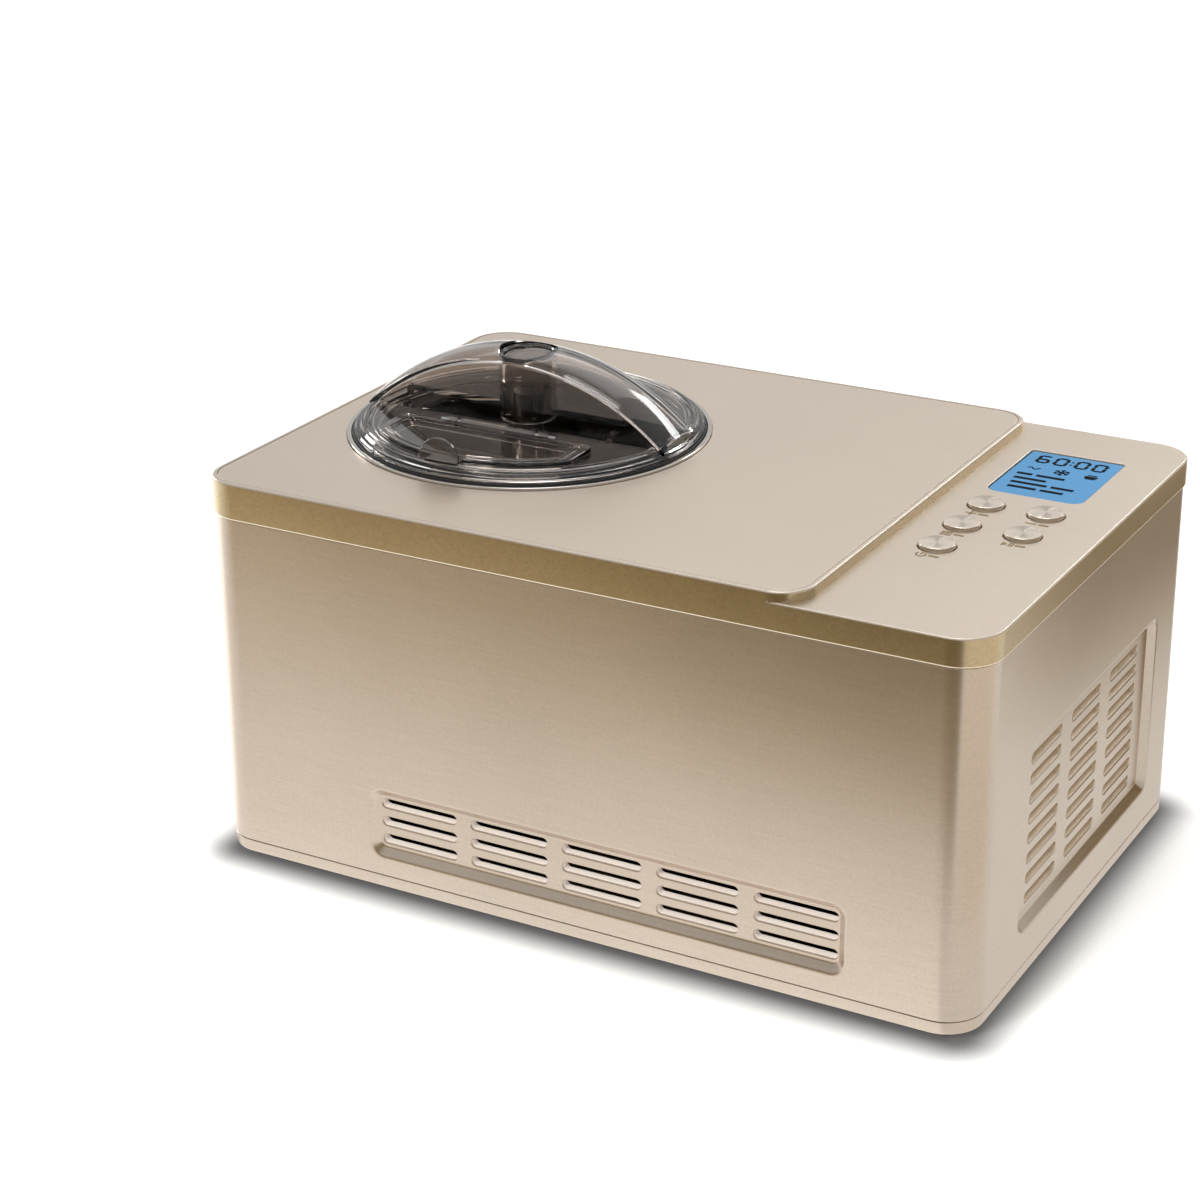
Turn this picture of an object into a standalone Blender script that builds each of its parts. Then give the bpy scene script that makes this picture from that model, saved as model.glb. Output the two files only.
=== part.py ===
"""Self-chilling ice cream maker, modelled as separate pieces in metres.

The origin is on the surface it stands on, under the middle of the casing.
X runs along the front to the right, Y towards the back and Z up.
"""
from math import acos, asin, cos, pi, radians, sin, tan

import bmesh
import bpy
from mathutils import Matrix, Vector

MM = 0.001
GAP = 0.3 * MM                     # kept between neighbouring pieces
OVERRUN = 3 * MM                   # how far a cutter passes the surface it cuts

# Casing
BODY_W, BODY_D = 425 * MM, 290 * MM
CORNER_R = 21 * MM
SKIN_INSET = 1 * MM                # the shell stands back from the band above it
SHEET = 1.5 * MM
FOOT_H = 4 * MM
TRAY_TOP = 11 * MM
BAND_Z = 190.5 * MM
DECK_Z = 205 * MM
TOP_Z = 210 * MM
COVER_WALL = 2 * MM
COVER_SHEET = 2.5 * MM
PLATFORM_X = 122 * MM              # right edge of the raised platform
PLATFORM_R = 18 * MM
PLATE_RIM = 2.5 * MM
PLATE_SINK = 1 * MM

# Chilled side: everything here is round about the drive axis
AXIS_X, AXIS_Y = -103 * MM, 0.0
COVER_HOLE_R = 89.5 * MM
SEAT_R = 95.7 * MM
LID_R = 92 * MM
LID_Z = 212.4 * MM                 # underside of the lid's rim
LID_DECK_Z = 216.9 * MM
LID_DECK_R = 84.5 * MM
LID_WALL = 2.5 * MM
ARCH_R, ARCH_TOP = 130 * MM, 255 * MM
ARCH_HALF_W = 17.5 * MM
ARCH_HALF_L = 89 * MM
HUB_R = 15 * MM
POT_R, POT_WALL = 76 * MM, 3 * MM
POT_FLOOR, POT_TOP = 66 * MM, 206.2 * MM
BOWL_R, BOWL_WALL = 73 * MM, 1.5 * MM
BOWL_FLOOR, BOWL_TOP = 72 * MM, 208 * MM
BAIL_R, BAIL_WIRE = 79 * MM, 1.3 * MM
BAIL_Z = 210.4 * MM
SHAFT_R, SHAFT_SQUARE = 5 * MM, 8 * MM
CONE_TOP = 133 * MM

# Filler cap on the lid
CAP_BACK, CAP_FRONT_R, CAP_HALF_W = 32 * MM, 81.5 * MM, 57 * MM
CAP_Z, CAP_T = LID_DECK_Z + GAP, 2.4 * MM
HINGE_Z, HINGE_R, HINGE_BORE, PIN_R = 219.4 * MM, 2.2 * MM, 1.3 * MM, 1 * MM

# Gear drive under the pot
MODULE = 2 * MM
GEAR_TEETH, PINION_TEETH = 36, 12
GEAR_Z, GEAR_T = 48 * MM, 8 * MM
BACKLASH = 0.5 * MM
MOTOR_X = AXIS_X + MODULE * (GEAR_TEETH + PINION_TEETH) / 2

# Cooling side
COMPRESSOR_AT = (62 * MM, 58 * MM)
FAN_Y, FAN_Z, FAN_R = 7 * MM, 78 * MM, 50 * MM
CONDENSER_X = (178 * MM, 203 * MM)

# Controls, on the deck right of the platform
CONTROL_X = 162 * MM
LCD_W, LCD_D, LCD_Y = 50 * MM, 67 * MM, 72 * MM
BUTTON_R, BUTTON_PITCH, BUTTON_Y = 9 * MM, 31 * MM, 17 * MM
BUTTON_PLACES = {                  # column (-1 left, 1 right) and row from the back
    "button_plus": (-1, 0), "button_minus": (1, 0),
    "button_menu": (-1, 1), "button_start": (1, 1),
    "button_power": (-1, 2),
}

# Vents: place and size of each pressed recess, then its slots
FRONT_VENT = dict(u=(-115.5 * MM, 148 * MM), v=(22 * MM, 59 * MM), columns=5, rows=3,
                  slot=(44 * MM, 5 * MM), pitch=(52.5 * MM, 10 * MM))
SIDE_VENT = dict(u=(-84 * MM, 99 * MM), v=(30 * MM, 127.5 * MM), columns=3, rows=8,
                 slot=(41 * MM, 5.5 * MM), pitch=(54 * MM, 10.6 * MM))
VENT_DEPTH, VENT_CORNER = 4 * MM, 6 * MM

INLET_X, INLET_Z, INLET_W, INLET_H = 150 * MM, 42 * MM, 32 * MM, 24 * MM


# ---------------------------------------------------------------- helpers

def linear(hex_colour):
    """Linear colour of an sRGB hex string."""
    parts = [int(hex_colour[i:i + 2], 16) / 255 for i in (1, 3, 5)]
    return [c / 12.92 if c <= 0.04045 else ((c + 0.055) / 1.055) ** 2.4 for c in parts] + [1.0]


def add(name, data, look, location=(0, 0, 0), parent=None):
    """Put a mesh or curve in the scene under a name, with a material of its own."""
    if isinstance(data, bmesh.types.BMesh):
        mesh = bpy.data.meshes.new(name)
        data.to_mesh(mesh)
        data.free()
        mesh.shade_smooth()
        mesh.set_sharp_from_angle(angle=radians(35))
        data = mesh
    obj = bpy.data.objects.new(name, data)
    obj.location = location
    obj.parent = parent
    bpy.context.collection.objects.link(obj)
    colour, roughness, metallic = look[:3]
    mat = bpy.data.materials.new(name + "_finish")
    mat.use_nodes = True
    shader = mat.node_tree.nodes["Principled BSDF"]
    shader.inputs["Base Color"].default_value = linear(colour)
    shader.inputs["Roughness"].default_value = roughness
    shader.inputs["Metallic"].default_value = metallic
    shader.inputs["Alpha"].default_value = look[3] if len(look) > 3 else 1.0
    data.materials.append(mat)
    return obj


def pivot(name, location, parent=None):
    """Empty on a joint's axis that a moving piece hangs on."""
    empty = bpy.data.objects.new(name, None)
    empty.location = location
    empty.parent = parent
    bpy.context.collection.objects.link(empty)
    return empty


def shape_with(obj, operation, *tools):
    """Cut, join or trim an object with closed meshes in world coordinates."""
    for count, tool in enumerate(tools):
        mesh = bpy.data.meshes.new(f"{obj.name}_tool")
        tool.to_mesh(mesh)
        tool.free()
        helper = bpy.data.objects.new(f"{obj.name}_{operation.lower()}_{count}", mesh)
        helper.hide_render = True
        helper.display_type = 'WIRE'
        bpy.context.collection.objects.link(helper)
        mod = obj.modifiers.new(f"{operation.title()} {count}", 'BOOLEAN')
        mod.operation = operation
        mod.solver = 'EXACT'
        mod.object = helper
    return obj


def cut(obj, *tools):
    return shape_with(obj, 'DIFFERENCE', *tools)


def join(obj, *tools):
    return shape_with(obj, 'UNION', *tools)


def arc(centre, radius, start, end, steps):
    """Points on an arc, with angles in degrees."""
    turns = [radians(start + (end - start) * i / steps) for i in range(steps + 1)]
    return [(centre[0] + radius * cos(t), centre[1] + radius * sin(t)) for t in turns]


def rounded(x0, x1, y0, y1, radii, steps=4):
    """Rounded rectangle; radii is one radius or four, from the lower left anticlockwise."""
    if not isinstance(radii, (tuple, list)):
        radii = [radii] * 4
    corners = [(x0, y0, 1, 1), (x1, y0, -1, 1), (x1, y1, -1, -1), (x0, y1, 1, -1)]
    points = []
    for (x, y, sx, sy), r, start in zip(corners, radii, (180, 270, 0, 90)):
        points += arc((x + sx * r, y + sy * r), r, start, start + 90, steps)
    return points


def capsule(cx, cy, length, height, steps=4):
    """Round-ended slot outline along its first axis."""
    return rounded(cx - length / 2, cx + length / 2, cy - height / 2, cy + height / 2,
                   height / 2 * 0.999, steps)


def circle(cx, cy, radius, steps):
    return arc((cx, cy), radius, 0, 360 - 360 / steps, steps - 1)


def loft(low, z_low, high, z_high):
    """Closed solid between two outlines that have the same number of points."""
    bm = bmesh.new()
    rings = [[bm.verts.new((x, y, z)) for x, y in outline] for outline, z in ((low, z_low), (high, z_high))]
    loops = []
    for ring in rings:
        loops += [bm.edges.new((a, b)) for a, b in zip(ring, ring[1:] + ring[:1])]
    bmesh.ops.bridge_loops(bm, edges=loops)
    for ring in rings:
        bm.faces.new(ring)
    bmesh.ops.recalc_face_normals(bm, faces=bm.faces)
    return bm


def prism(outline, z0, z1):
    return loft(outline, z0, outline, z1)


def block(x0, x1, y0, y1, z0, z1):
    return prism([(x0, y0), (x1, y0), (x1, y1), (x0, y1)], z0, z1)


def merged(*solids):
    """Several separate closed solids as one cutter."""
    bm = solids[0]
    for other in solids[1:]:
        mesh = bpy.data.meshes.new("part")
        other.to_mesh(mesh)
        other.free()
        bm.from_mesh(mesh)
        bpy.data.meshes.remove(mesh)
    return bm


def moved(bm, matrix):
    bmesh.ops.transform(bm, matrix=matrix, verts=bm.verts)
    return bm


def shifted(bm, x=0.0, y=0.0, z=0.0):
    return moved(bm, Matrix.Translation((x, y, z)))


def turned(profile, steps, at=(0, 0)):
    """Solid of revolution about a vertical axis, from (radius, height) points."""
    bm = bmesh.new()
    verts = [bm.verts.new((r, 0, z)) for r, z in profile]
    pairs = list(zip(verts, verts[1:]))
    if profile[0][0] > 0 or profile[-1][0] > 0:
        pairs.append((verts[-1], verts[0]))
    edges = [bm.edges.new(pair) for pair in pairs]
    bmesh.ops.spin(bm, geom=verts + edges, axis=(0, 0, 1), cent=(0, 0, 0), angle=2 * pi,
                   steps=steps, use_merge=True)
    bmesh.ops.remove_doubles(bm, verts=bm.verts, dist=1e-6)
    bmesh.ops.recalc_face_normals(bm, faces=bm.faces)
    return shifted(bm, *at)


def disc(cx, cy, radius, z0, z1, steps=24):
    return prism(circle(cx, cy, radius, steps), z0, z1)


def tube(name, points, radius, look, sides=8, parent=None, location=(0, 0, 0)):
    """Round pipe or wire along points given in world coordinates."""
    curve = bpy.data.curves.new(name, 'CURVE')
    curve.dimensions = '3D'
    curve.bevel_depth = radius
    curve.bevel_resolution = sides // 2 - 2
    curve.use_fill_caps = True
    spline = curve.splines.new('POLY')
    spline.points.add(len(points) - 1)
    for point, place in zip(spline.points, points):
        point.co = (*(Vector(place) - Vector(location)), 1)
    return add(name, curve, look, location, parent)


def bent(corners, radius, steps=3):
    """A route through corner points, with each inner corner rounded."""
    corners = [Vector(c) for c in corners]
    route = [corners[0]]
    for before, here, after in zip(corners, corners[1:], corners[2:]):
        start = here + (before - here).normalized() * radius
        end = here + (after - here).normalized() * radius
        for i in range(steps + 1):
            t = i / steps
            route.append(start.lerp(here, t).lerp(here.lerp(end, t), t))
    return route + [corners[-1]]


# Turning (u, v, outwards) panels to the casing's walls
FRONT = Matrix(((1, 0, 0, 0), (0, 0, -1, -BODY_D / 2 + SKIN_INSET), (0, 1, 0, 0), (0, 0, 0, 1)))
RIGHT = Matrix(((0, 0, 1, BODY_W / 2 - SKIN_INSET), (1, 0, 0, 0), (0, 1, 0, 0), (0, 0, 0, 1)))
BACK = Matrix(((-1, 0, 0, 0), (0, 0, 1, BODY_D / 2 - SKIN_INSET), (0, 1, 0, 0), (0, 0, 0, 1)))
ALONG_X = Matrix.Rotation(pi / 2, 4, 'Y')


# ---------------------------------------------------------------- looks

GOLD = ("#C9B294", 0.32, 1.0)
PLATE = ("#D3C6B4", 0.34, 1.0)
BAND = ("#8E7A55", 0.3, 1.0)
SMOKE = ("#4A4640", 0.08, 0.0, 0.35)
STEEL = ("#B8B9BA", 0.3, 1.0)
ALU = ("#C9CACB", 0.38, 1.0)
COPPER = ("#B8693C", 0.35, 1.0)
BLACK = ("#1A1A1A", 0.5, 0.0)
RUBBER = ("#161616", 0.85, 0.0)
BOARD = ("#1F5A34", 0.5, 0.0)
WHITE = ("#E6E5E0", 0.5, 0.0)


# ---------------------------------------------------------------- casing

def body_outline(inset, steps=5):
    half_w, half_d = BODY_W / 2 - inset, BODY_D / 2 - inset
    return rounded(-half_w, half_w, -half_d, half_d, CORNER_R - inset, steps)


def platform_outline(inset, steps=5):
    left, half_d = -BODY_W / 2 + inset, BODY_D / 2 - inset
    back_r, right_r = CORNER_R - inset, PLATFORM_R - inset
    return rounded(left, PLATFORM_X - inset, -half_d, half_d, (back_r, right_r, right_r, back_r), steps)


def make_base():
    pan = add("base_pan", prism(body_outline(SKIN_INSET), FOOT_H, TRAY_TOP), BAND)
    cut(pan, prism(body_outline(SKIN_INSET + SHEET), FOOT_H + SHEET, TRAY_TOP + OVERRUN))
    foot_x, foot_y = BODY_W / 2 - 28 * MM, BODY_D / 2 - 28 * MM
    corners = [(-1, -1), (1, -1), (1, 1), (-1, 1)]
    for number, (sx, sy) in enumerate(corners, 1):
        foot = [(0, 0), (9 * MM, 0), (10 * MM, 1 * MM), (11 * MM, FOOT_H - GAP), (0, FOOT_H - GAP)]
        add(f"foot_{number}", turned(foot, 16), RUBBER, (sx * foot_x, sy * foot_y, 0))
        head = [(0, 0), (3 * MM, 0), (3.6 * MM, 0.6 * MM), (3.6 * MM, 1.4 * MM), (0, 1.4 * MM)]
        screw_at = (sx * (foot_x - 26 * MM), sy * foot_y, FOOT_H - GAP - 1.4 * MM)
        add(f"base_screw_{number}", turned(head, 10), STEEL, screw_at)


def vent_recess(vent, skin):
    """The pressed recess in panel coordinates; skin 0 is its outer face, else its inner one."""
    depth = VENT_DEPTH + skin
    side = skin * 2 ** 0.5
    (u0, u1), (v0, v1) = vent["u"], vent["v"]

    def outline(at_depth):
        inset = at_depth - side
        corner = max(VENT_CORNER - inset, 1 * MM)
        return rounded(u0 + inset, u1 - inset, v0 + inset, v1 - inset, corner, 3)

    return loft(outline(-1 * MM), 1 * MM, outline(depth), -depth)


def vent_slots(vent):
    mid_u, mid_v = sum(vent["u"]) / 2, sum(vent["v"]) / 2
    slots = []
    for column in range(vent["columns"]):
        for row in range(vent["rows"]):
            u = mid_u + (column - (vent["columns"] - 1) / 2) * vent["pitch"][0]
            v = mid_v + (row - (vent["rows"] - 1) / 2) * vent["pitch"][1]
            outline = capsule(u, v, *vent["slot"], steps=2)
            slots.append(prism(outline, -VENT_DEPTH - SHEET - OVERRUN, 0))
    return merged(*slots)


def make_shell():
    z0, z1 = TRAY_TOP + GAP, BAND_Z - GAP
    shell = add("outer_shell", prism(body_outline(SKIN_INSET), z0, z1), GOLD)
    cavity = add("shell_cavity", prism(body_outline(SKIN_INSET + SHEET), z0 - OVERRUN, z1 + OVERRUN), BLACK)
    cavity.hide_render = True
    cavity.display_type = 'WIRE'
    for vent, place in ((FRONT_VENT, FRONT), (SIDE_VENT, RIGHT)):
        cut(cavity, moved(vent_recess(vent, SHEET), place))
    for vent, place in ((FRONT_VENT, FRONT), (SIDE_VENT, RIGHT)):
        cut(shell, moved(vent_recess(vent, 0), place))
    hollow = shell.modifiers.new("Hollow", 'BOOLEAN')
    hollow.operation = 'DIFFERENCE'
    hollow.solver = 'EXACT'
    hollow.object = cavity
    cut(shell, moved(vent_slots(FRONT_VENT), FRONT), moved(vent_slots(SIDE_VENT), RIGHT))
    inlet = rounded(-INLET_X - INLET_W / 2, -INLET_X + INLET_W / 2,
                    INLET_Z - INLET_H / 2, INLET_Z + INLET_H / 2, 3 * MM, 2)
    cut(shell, moved(prism(inlet, -SHEET - OVERRUN, OVERRUN), BACK))


def make_top_cover():
    cover = add("top_cover", prism(body_outline(0), BAND_Z, TOP_Z), BAND)
    far = BODY_W
    edge_x, edge_y = PLATFORM_X - PLATFORM_R, BODY_D / 2 - PLATFORM_R
    deck = [(edge_x, -far)] + arc((edge_x, -edge_y), PLATFORM_R, 270, 360, 5)
    deck += arc((edge_x, edge_y), PLATFORM_R, 0, 90, 5) + [(edge_x, far), (far, far), (far, -far)]
    cut(cover, prism(deck, DECK_Z, TOP_Z + OVERRUN))
    cut_low = prism(body_outline(COVER_WALL), BAND_Z - OVERRUN, DECK_Z - COVER_SHEET)
    cut_high = prism(platform_outline(COVER_WALL + 0.5 * MM), BAND_Z, TOP_Z - PLATE_SINK - COVER_SHEET)
    recess = prism(platform_outline(PLATE_RIM), TOP_Z - PLATE_SINK, TOP_Z + OVERRUN)
    mouth = disc(AXIS_X, AXIS_Y, COVER_HOLE_R, BAND_Z, TOP_Z + OVERRUN, 48)
    cut(cover, cut_low, cut_high, recess, mouth)
    window = rounded(CONTROL_X - LCD_W / 2, CONTROL_X + LCD_W / 2, LCD_Y - LCD_D / 2, LCD_Y + LCD_D / 2,
                     (6 * MM, 6 * MM, 2 * MM, 2 * MM), 3)
    holes = [prism(window, BAND_Z, TOP_Z)]
    for place in BUTTON_PLACES.values():
        holes.append(disc(*button_at(place), BUTTON_R + 0.4 * MM, BAND_Z, TOP_Z, 20))
    cut(cover, merged(*holes))

    sheet = prism(platform_outline(PLATE_RIM + GAP), TOP_Z - PLATE_SINK + GAP, TOP_Z)
    plate = add("top_plate", sheet, PLATE)
    cut(plate, disc(AXIS_X, AXIS_Y, SEAT_R + 0.4 * MM, DECK_Z, TOP_Z + OVERRUN, 48))


def make_screws():
    """Four screws that hold the back of the shell."""
    head = [(0, 0), (3.6 * MM, 0), (3.2 * MM, 0.7 * MM), (0, 0.7 * MM)]
    places = [(-190, 24), (190, 24), (-190, 176), (190, 176)]
    for number, (x, z) in enumerate(places, 1):
        bm = moved(turned(head, 10), Matrix.Rotation(-pi / 2, 4, 'X'))
        at = (x * MM, BODY_D / 2 - SKIN_INSET + 0.25 * MM, z * MM)
        add(f"rear_screw_{number}", bm, STEEL, at)


# ---------------------------------------------------------------- chilled side

def make_seat():
    floor, lip = TOP_Z + 0.6 * MM, TOP_Z + 1.4 * MM
    base = TOP_Z - PLATE_SINK + GAP
    ring = [(86 * MM, POT_TOP + GAP), (COVER_HOLE_R - GAP, POT_TOP + GAP), (COVER_HOLE_R - GAP, base),
            (SEAT_R, base), (SEAT_R, lip), (93.2 * MM, lip), (93.2 * MM, floor), (86 * MM, floor)]
    add("lid_seat_ring", turned(ring, 40), PLATE, (AXIS_X, AXIS_Y, 0))
    low, high = floor + GAP, LID_Z - GAP
    gasket = [(86.6 * MM, low), (92.8 * MM, low), (92.8 * MM, high), (86.6 * MM, high)]
    add("lid_gasket", turned(gasket, 40), RUBBER, (AXIS_X, AXIS_Y, 0))


def arch_outline(radius, half_length, bottom):
    """Side view of the grip: an arc over a flat base, in (x, z)."""
    reach = radians(90) - asin(min(half_length / radius, 1))
    centre = (0, ARCH_TOP - ARCH_R)
    crest = arc(centre, radius, reach * 180 / pi, 180 - reach * 180 / pi, 12)
    return [(crest[-1][0], bottom)] + [(crest[0][0], bottom)] + crest


def arch_solid(radius, half_length, half_width, bottom):
    side = [(x, z) for x, z in arch_outline(radius, half_length, bottom)]
    upright = Matrix(((1, 0, 0, AXIS_X), (0, 0, -1, AXIS_Y), (0, 1, 0, 0), (0, 0, 0, 1)))
    return moved(prism(side, -half_width, half_width), upright)


def cap_outline(back, front_radius, half_width):
    """Segment of the lid: a straight back edge, straight sides and a round front, in lid coordinates."""
    reach = asin(half_width / front_radius) * 180 / pi
    return [(half_width, -back), (-half_width, -back)] + arc((0, 0), front_radius, 270 - reach, 270 + reach, 10)


def along_x_rod(radius, x0, x1, y, z, steps=12):
    """Rod or bore parallel to X."""
    return shifted(moved(prism(circle(0, 0, radius, steps), x0, x1), ALONG_X), 0, y, z)


def make_lid():
    low = LID_DECK_Z - LID_WALL
    skirt_out, skirt_in = 84.4 * MM, 82.4 * MM
    skirt_z = BOWL_TOP + 1.6 * MM
    profile = [(0, LID_DECK_Z), (LID_DECK_R, LID_DECK_Z), (86 * MM, LID_DECK_Z + 1.1 * MM),
               (LID_R, LID_Z + 1.6 * MM), (LID_R, LID_Z), (skirt_out, LID_Z), (skirt_out, skirt_z),
               (skirt_in, skirt_z), (skirt_in, low), (0, low)]
    carrier = pivot("lid_lift_axis", (AXIS_X, AXIS_Y, LID_Z))
    lid = add("lid", turned(profile, 40), SMOKE, (0, 0, -LID_Z), carrier)
    join(lid, arch_solid(ARCH_R, ARCH_HALF_L, ARCH_HALF_W, low + 1 * MM))
    cut(lid, arch_solid(ARCH_R - LID_WALL, ARCH_HALF_L - LID_WALL * 1.5, ARCH_HALF_W - LID_WALL,
                        low - OVERRUN))
    lugs = []
    for side in (-1, 1):
        outer, inner = AXIS_X + side * 30 * MM, AXIS_X + side * 24 * MM
        y = AXIS_Y - CAP_BACK
        lugs.append(block(min(outer, inner), max(outer, inner), y - 2 * MM, y + 2.5 * MM,
                          LID_DECK_Z - 1 * MM, HINGE_Z + HINGE_R))
    join(lid, merged(*lugs))
    hole = shifted(prism(cap_outline(CAP_BACK + 3 * MM, 78 * MM, 52 * MM), low - OVERRUN,
                         LID_DECK_Z + OVERRUN), AXIS_X, AXIS_Y)
    hub_hole = disc(AXIS_X, AXIS_Y, HUB_R + GAP, ARCH_TOP - 20 * MM, ARCH_TOP + OVERRUN, 20)
    bore = along_x_rod(HINGE_BORE, AXIS_X - 40 * MM, AXIS_X + 40 * MM, AXIS_Y - CAP_BACK, HINGE_Z)
    cut(lid, hole, hub_hole, bore)

    dimple, tube_r = ARCH_TOP - 3 * MM, 12 * MM
    hub = [(0, dimple), (HUB_R, dimple), (HUB_R, LID_DECK_Z), (tube_r, LID_DECK_Z),
           (tube_r, dimple - LID_WALL), (0, dimple - LID_WALL)]
    add("lid_hub", turned(hub, 20), SMOKE, (0, 0, -LID_Z), carrier)
    pin = along_x_rod(PIN_R, -34 * MM, 34 * MM, 0, 0, 10)
    add("hinge_pin", pin, STEEL, (0, AXIS_Y - CAP_BACK, HINGE_Z - LID_Z), carrier)
    make_filler_cap(carrier)


def make_filler_cap(carrier):
    hinge = pivot("filler_hinge_axis", (0, AXIS_Y - CAP_BACK, HINGE_Z - LID_Z), carrier)
    plate = prism(cap_outline(CAP_BACK + 1.2 * MM, CAP_FRONT_R, CAP_HALF_W), CAP_Z, CAP_Z + CAP_T)
    cap = add("filler_cap", shifted(plate, 0, CAP_BACK, -HINGE_Z), SMOKE, parent=hinge)
    barrel = along_x_rod(HINGE_R, AXIS_X - 22 * MM, AXIS_X + 22 * MM, AXIS_Y - CAP_BACK, HINGE_Z)
    join(cap, barrel)
    plug_low = LID_DECK_Z - LID_WALL
    plug = shifted(prism(cap_outline(CAP_BACK + 5 * MM, 76.5 * MM, 50 * MM), plug_low, CAP_Z + 1 * MM),
                   AXIS_X, AXIS_Y)
    tongue = block(AXIS_X - 9 * MM, AXIS_X + 9 * MM, AXIS_Y - 90 * MM, AXIS_Y - 78 * MM,
                   CAP_Z + 1.2 * MM, CAP_Z + CAP_T)
    tab_r, tab_z = 11.5 * MM, CAP_Z + 1.2 * MM
    half_disc = [(tab_r, 0)] + arc((0, 2 * MM), tab_r, 0, 180, 12) + [(-tab_r, 0)]
    upright = Matrix(((1, 0, 0, AXIS_X), (0, 0, -1, AXIS_Y - 90 * MM), (0, 1, 0, tab_z), (0, 0, 0, 1)))
    tab = moved(prism(half_disc, -2 * MM, 0), upright)
    join(cap, plug, tongue, tab)
    well = shifted(prism(cap_outline(CAP_BACK + 7 * MM, 74.5 * MM, 48 * MM), plug_low - OVERRUN,
                         CAP_Z + 0.2 * MM), AXIS_X, AXIS_Y)
    bore = along_x_rod(HINGE_BORE, AXIS_X - 40 * MM, AXIS_X + 40 * MM, AXIS_Y - CAP_BACK, HINGE_Z)
    notches = []
    for side in (-1, 1):
        mid = AXIS_X + side * 27 * MM
        notches.append(block(mid - 3.6 * MM, mid + 3.6 * MM, AXIS_Y - CAP_BACK - 4.5 * MM,
                             AXIS_Y - CAP_BACK + 3 * MM, LID_DECK_Z, HINGE_Z + 4 * MM))
    cut(cap, well, bore, merged(*notches))


def make_pot():
    outer = POT_R + POT_WALL
    hole = 9.3 * MM
    inside = POT_FLOOR + POT_WALL
    pot = [(hole, POT_FLOOR), (outer, POT_FLOOR), (outer, POT_TOP - 2.3 * MM), (94 * MM, POT_TOP - 2.3 * MM),
           (94 * MM, POT_TOP), (POT_R, POT_TOP), (POT_R, inside), (hole, inside)]
    add("cooling_pot", turned(pot, 32), ALU, (AXIS_X, AXIS_Y, 0))
    bush = [(SHAFT_R + GAP, POT_FLOOR - 5 * MM), (9 * MM, POT_FLOOR - 5 * MM), (9 * MM, inside),
            (SHAFT_R + GAP, inside)]
    add("shaft_bush", turned(bush, 16), ("#C8A45A", 0.35, 1.0), (AXIS_X, AXIS_Y, 0))

    coil_r, pipe, turns, per_turn = outer + 5.6 * MM, 4 * MM, 5, 20
    low, high = 84 * MM, 180 * MM
    helix = []
    for i in range(turns * per_turn + 1):
        turn, rise = 2 * pi * i / per_turn, (high - low) * i / (turns * per_turn)
        helix.append((AXIS_X + coil_r * cos(turn), AXIS_Y + coil_r * sin(turn), low + rise))
    tube("evaporator_coil", helix, pipe, COPPER, sides=6)

    inner, wall = 90 * MM, 103 * MM
    jacket = [(inner, POT_FLOOR), (wall, POT_FLOOR), (wall, POT_TOP - 3 * MM), (inner, POT_TOP - 3 * MM)]
    foam = add("insulation_jacket", turned(jacket, 32), WHITE, (AXIS_X, AXIS_Y, 0))
    cut(foam, block(AXIS_X, AXIS_X + 120 * MM, -9 * MM, 9 * MM, 0, TOP_Z))


def make_bowl():
    lift = pivot("bowl_lift_axis", (AXIS_X, AXIS_Y, BOWL_FLOOR))
    flange = BOWL_TOP - BOWL_WALL
    cone_low, cone_high, mouth = 16 * MM, 11 * MM, 7 * MM
    inside = BOWL_FLOOR + BOWL_WALL
    bowl = [(84.4 * MM, flange), (84.4 * MM, BOWL_TOP), (BOWL_R, BOWL_TOP), (BOWL_R, inside),
            (cone_low, inside), (cone_high, CONE_TOP), (mouth, CONE_TOP), (mouth, CONE_TOP - BOWL_WALL),
            (cone_high - BOWL_WALL, CONE_TOP - BOWL_WALL), (cone_low - BOWL_WALL, BOWL_FLOOR),
            (BOWL_R + BOWL_WALL, BOWL_FLOOR), (BOWL_R + BOWL_WALL, flange)]
    pan = add("mixing_bowl", turned(bowl, 32), STEEL, (0, 0, -BOWL_FLOOR), lift)
    lugs = []
    for side in (-1, 1):
        a, b = AXIS_X + side * 74.6 * MM, AXIS_X + side * 76.8 * MM
        lugs.append(block(min(a, b), max(a, b), -3 * MM, 3 * MM, BOWL_TOP - 1 * MM, BAIL_Z + 3 * MM))
    join(pan, merged(*lugs))
    cut(pan, along_x_rod(BAIL_WIRE + 0.5 * MM, AXIS_X - 80 * MM, AXIS_X + 80 * MM, 0, BAIL_Z, 10))
    ring = [(x, y, 0) for x, y in arc((0, 0), BAIL_R, 180, 360, 20)]
    inner = 72.5 * MM
    wire = [(-inner, 0, 0)] + ring + [(inner, 0, 0)]
    hinge = pivot("bail_axis", (0, 0, BAIL_Z - BOWL_FLOOR), lift)
    tube("bowl_handle", wire, BAIL_WIRE, STEEL, parent=hinge)


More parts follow.
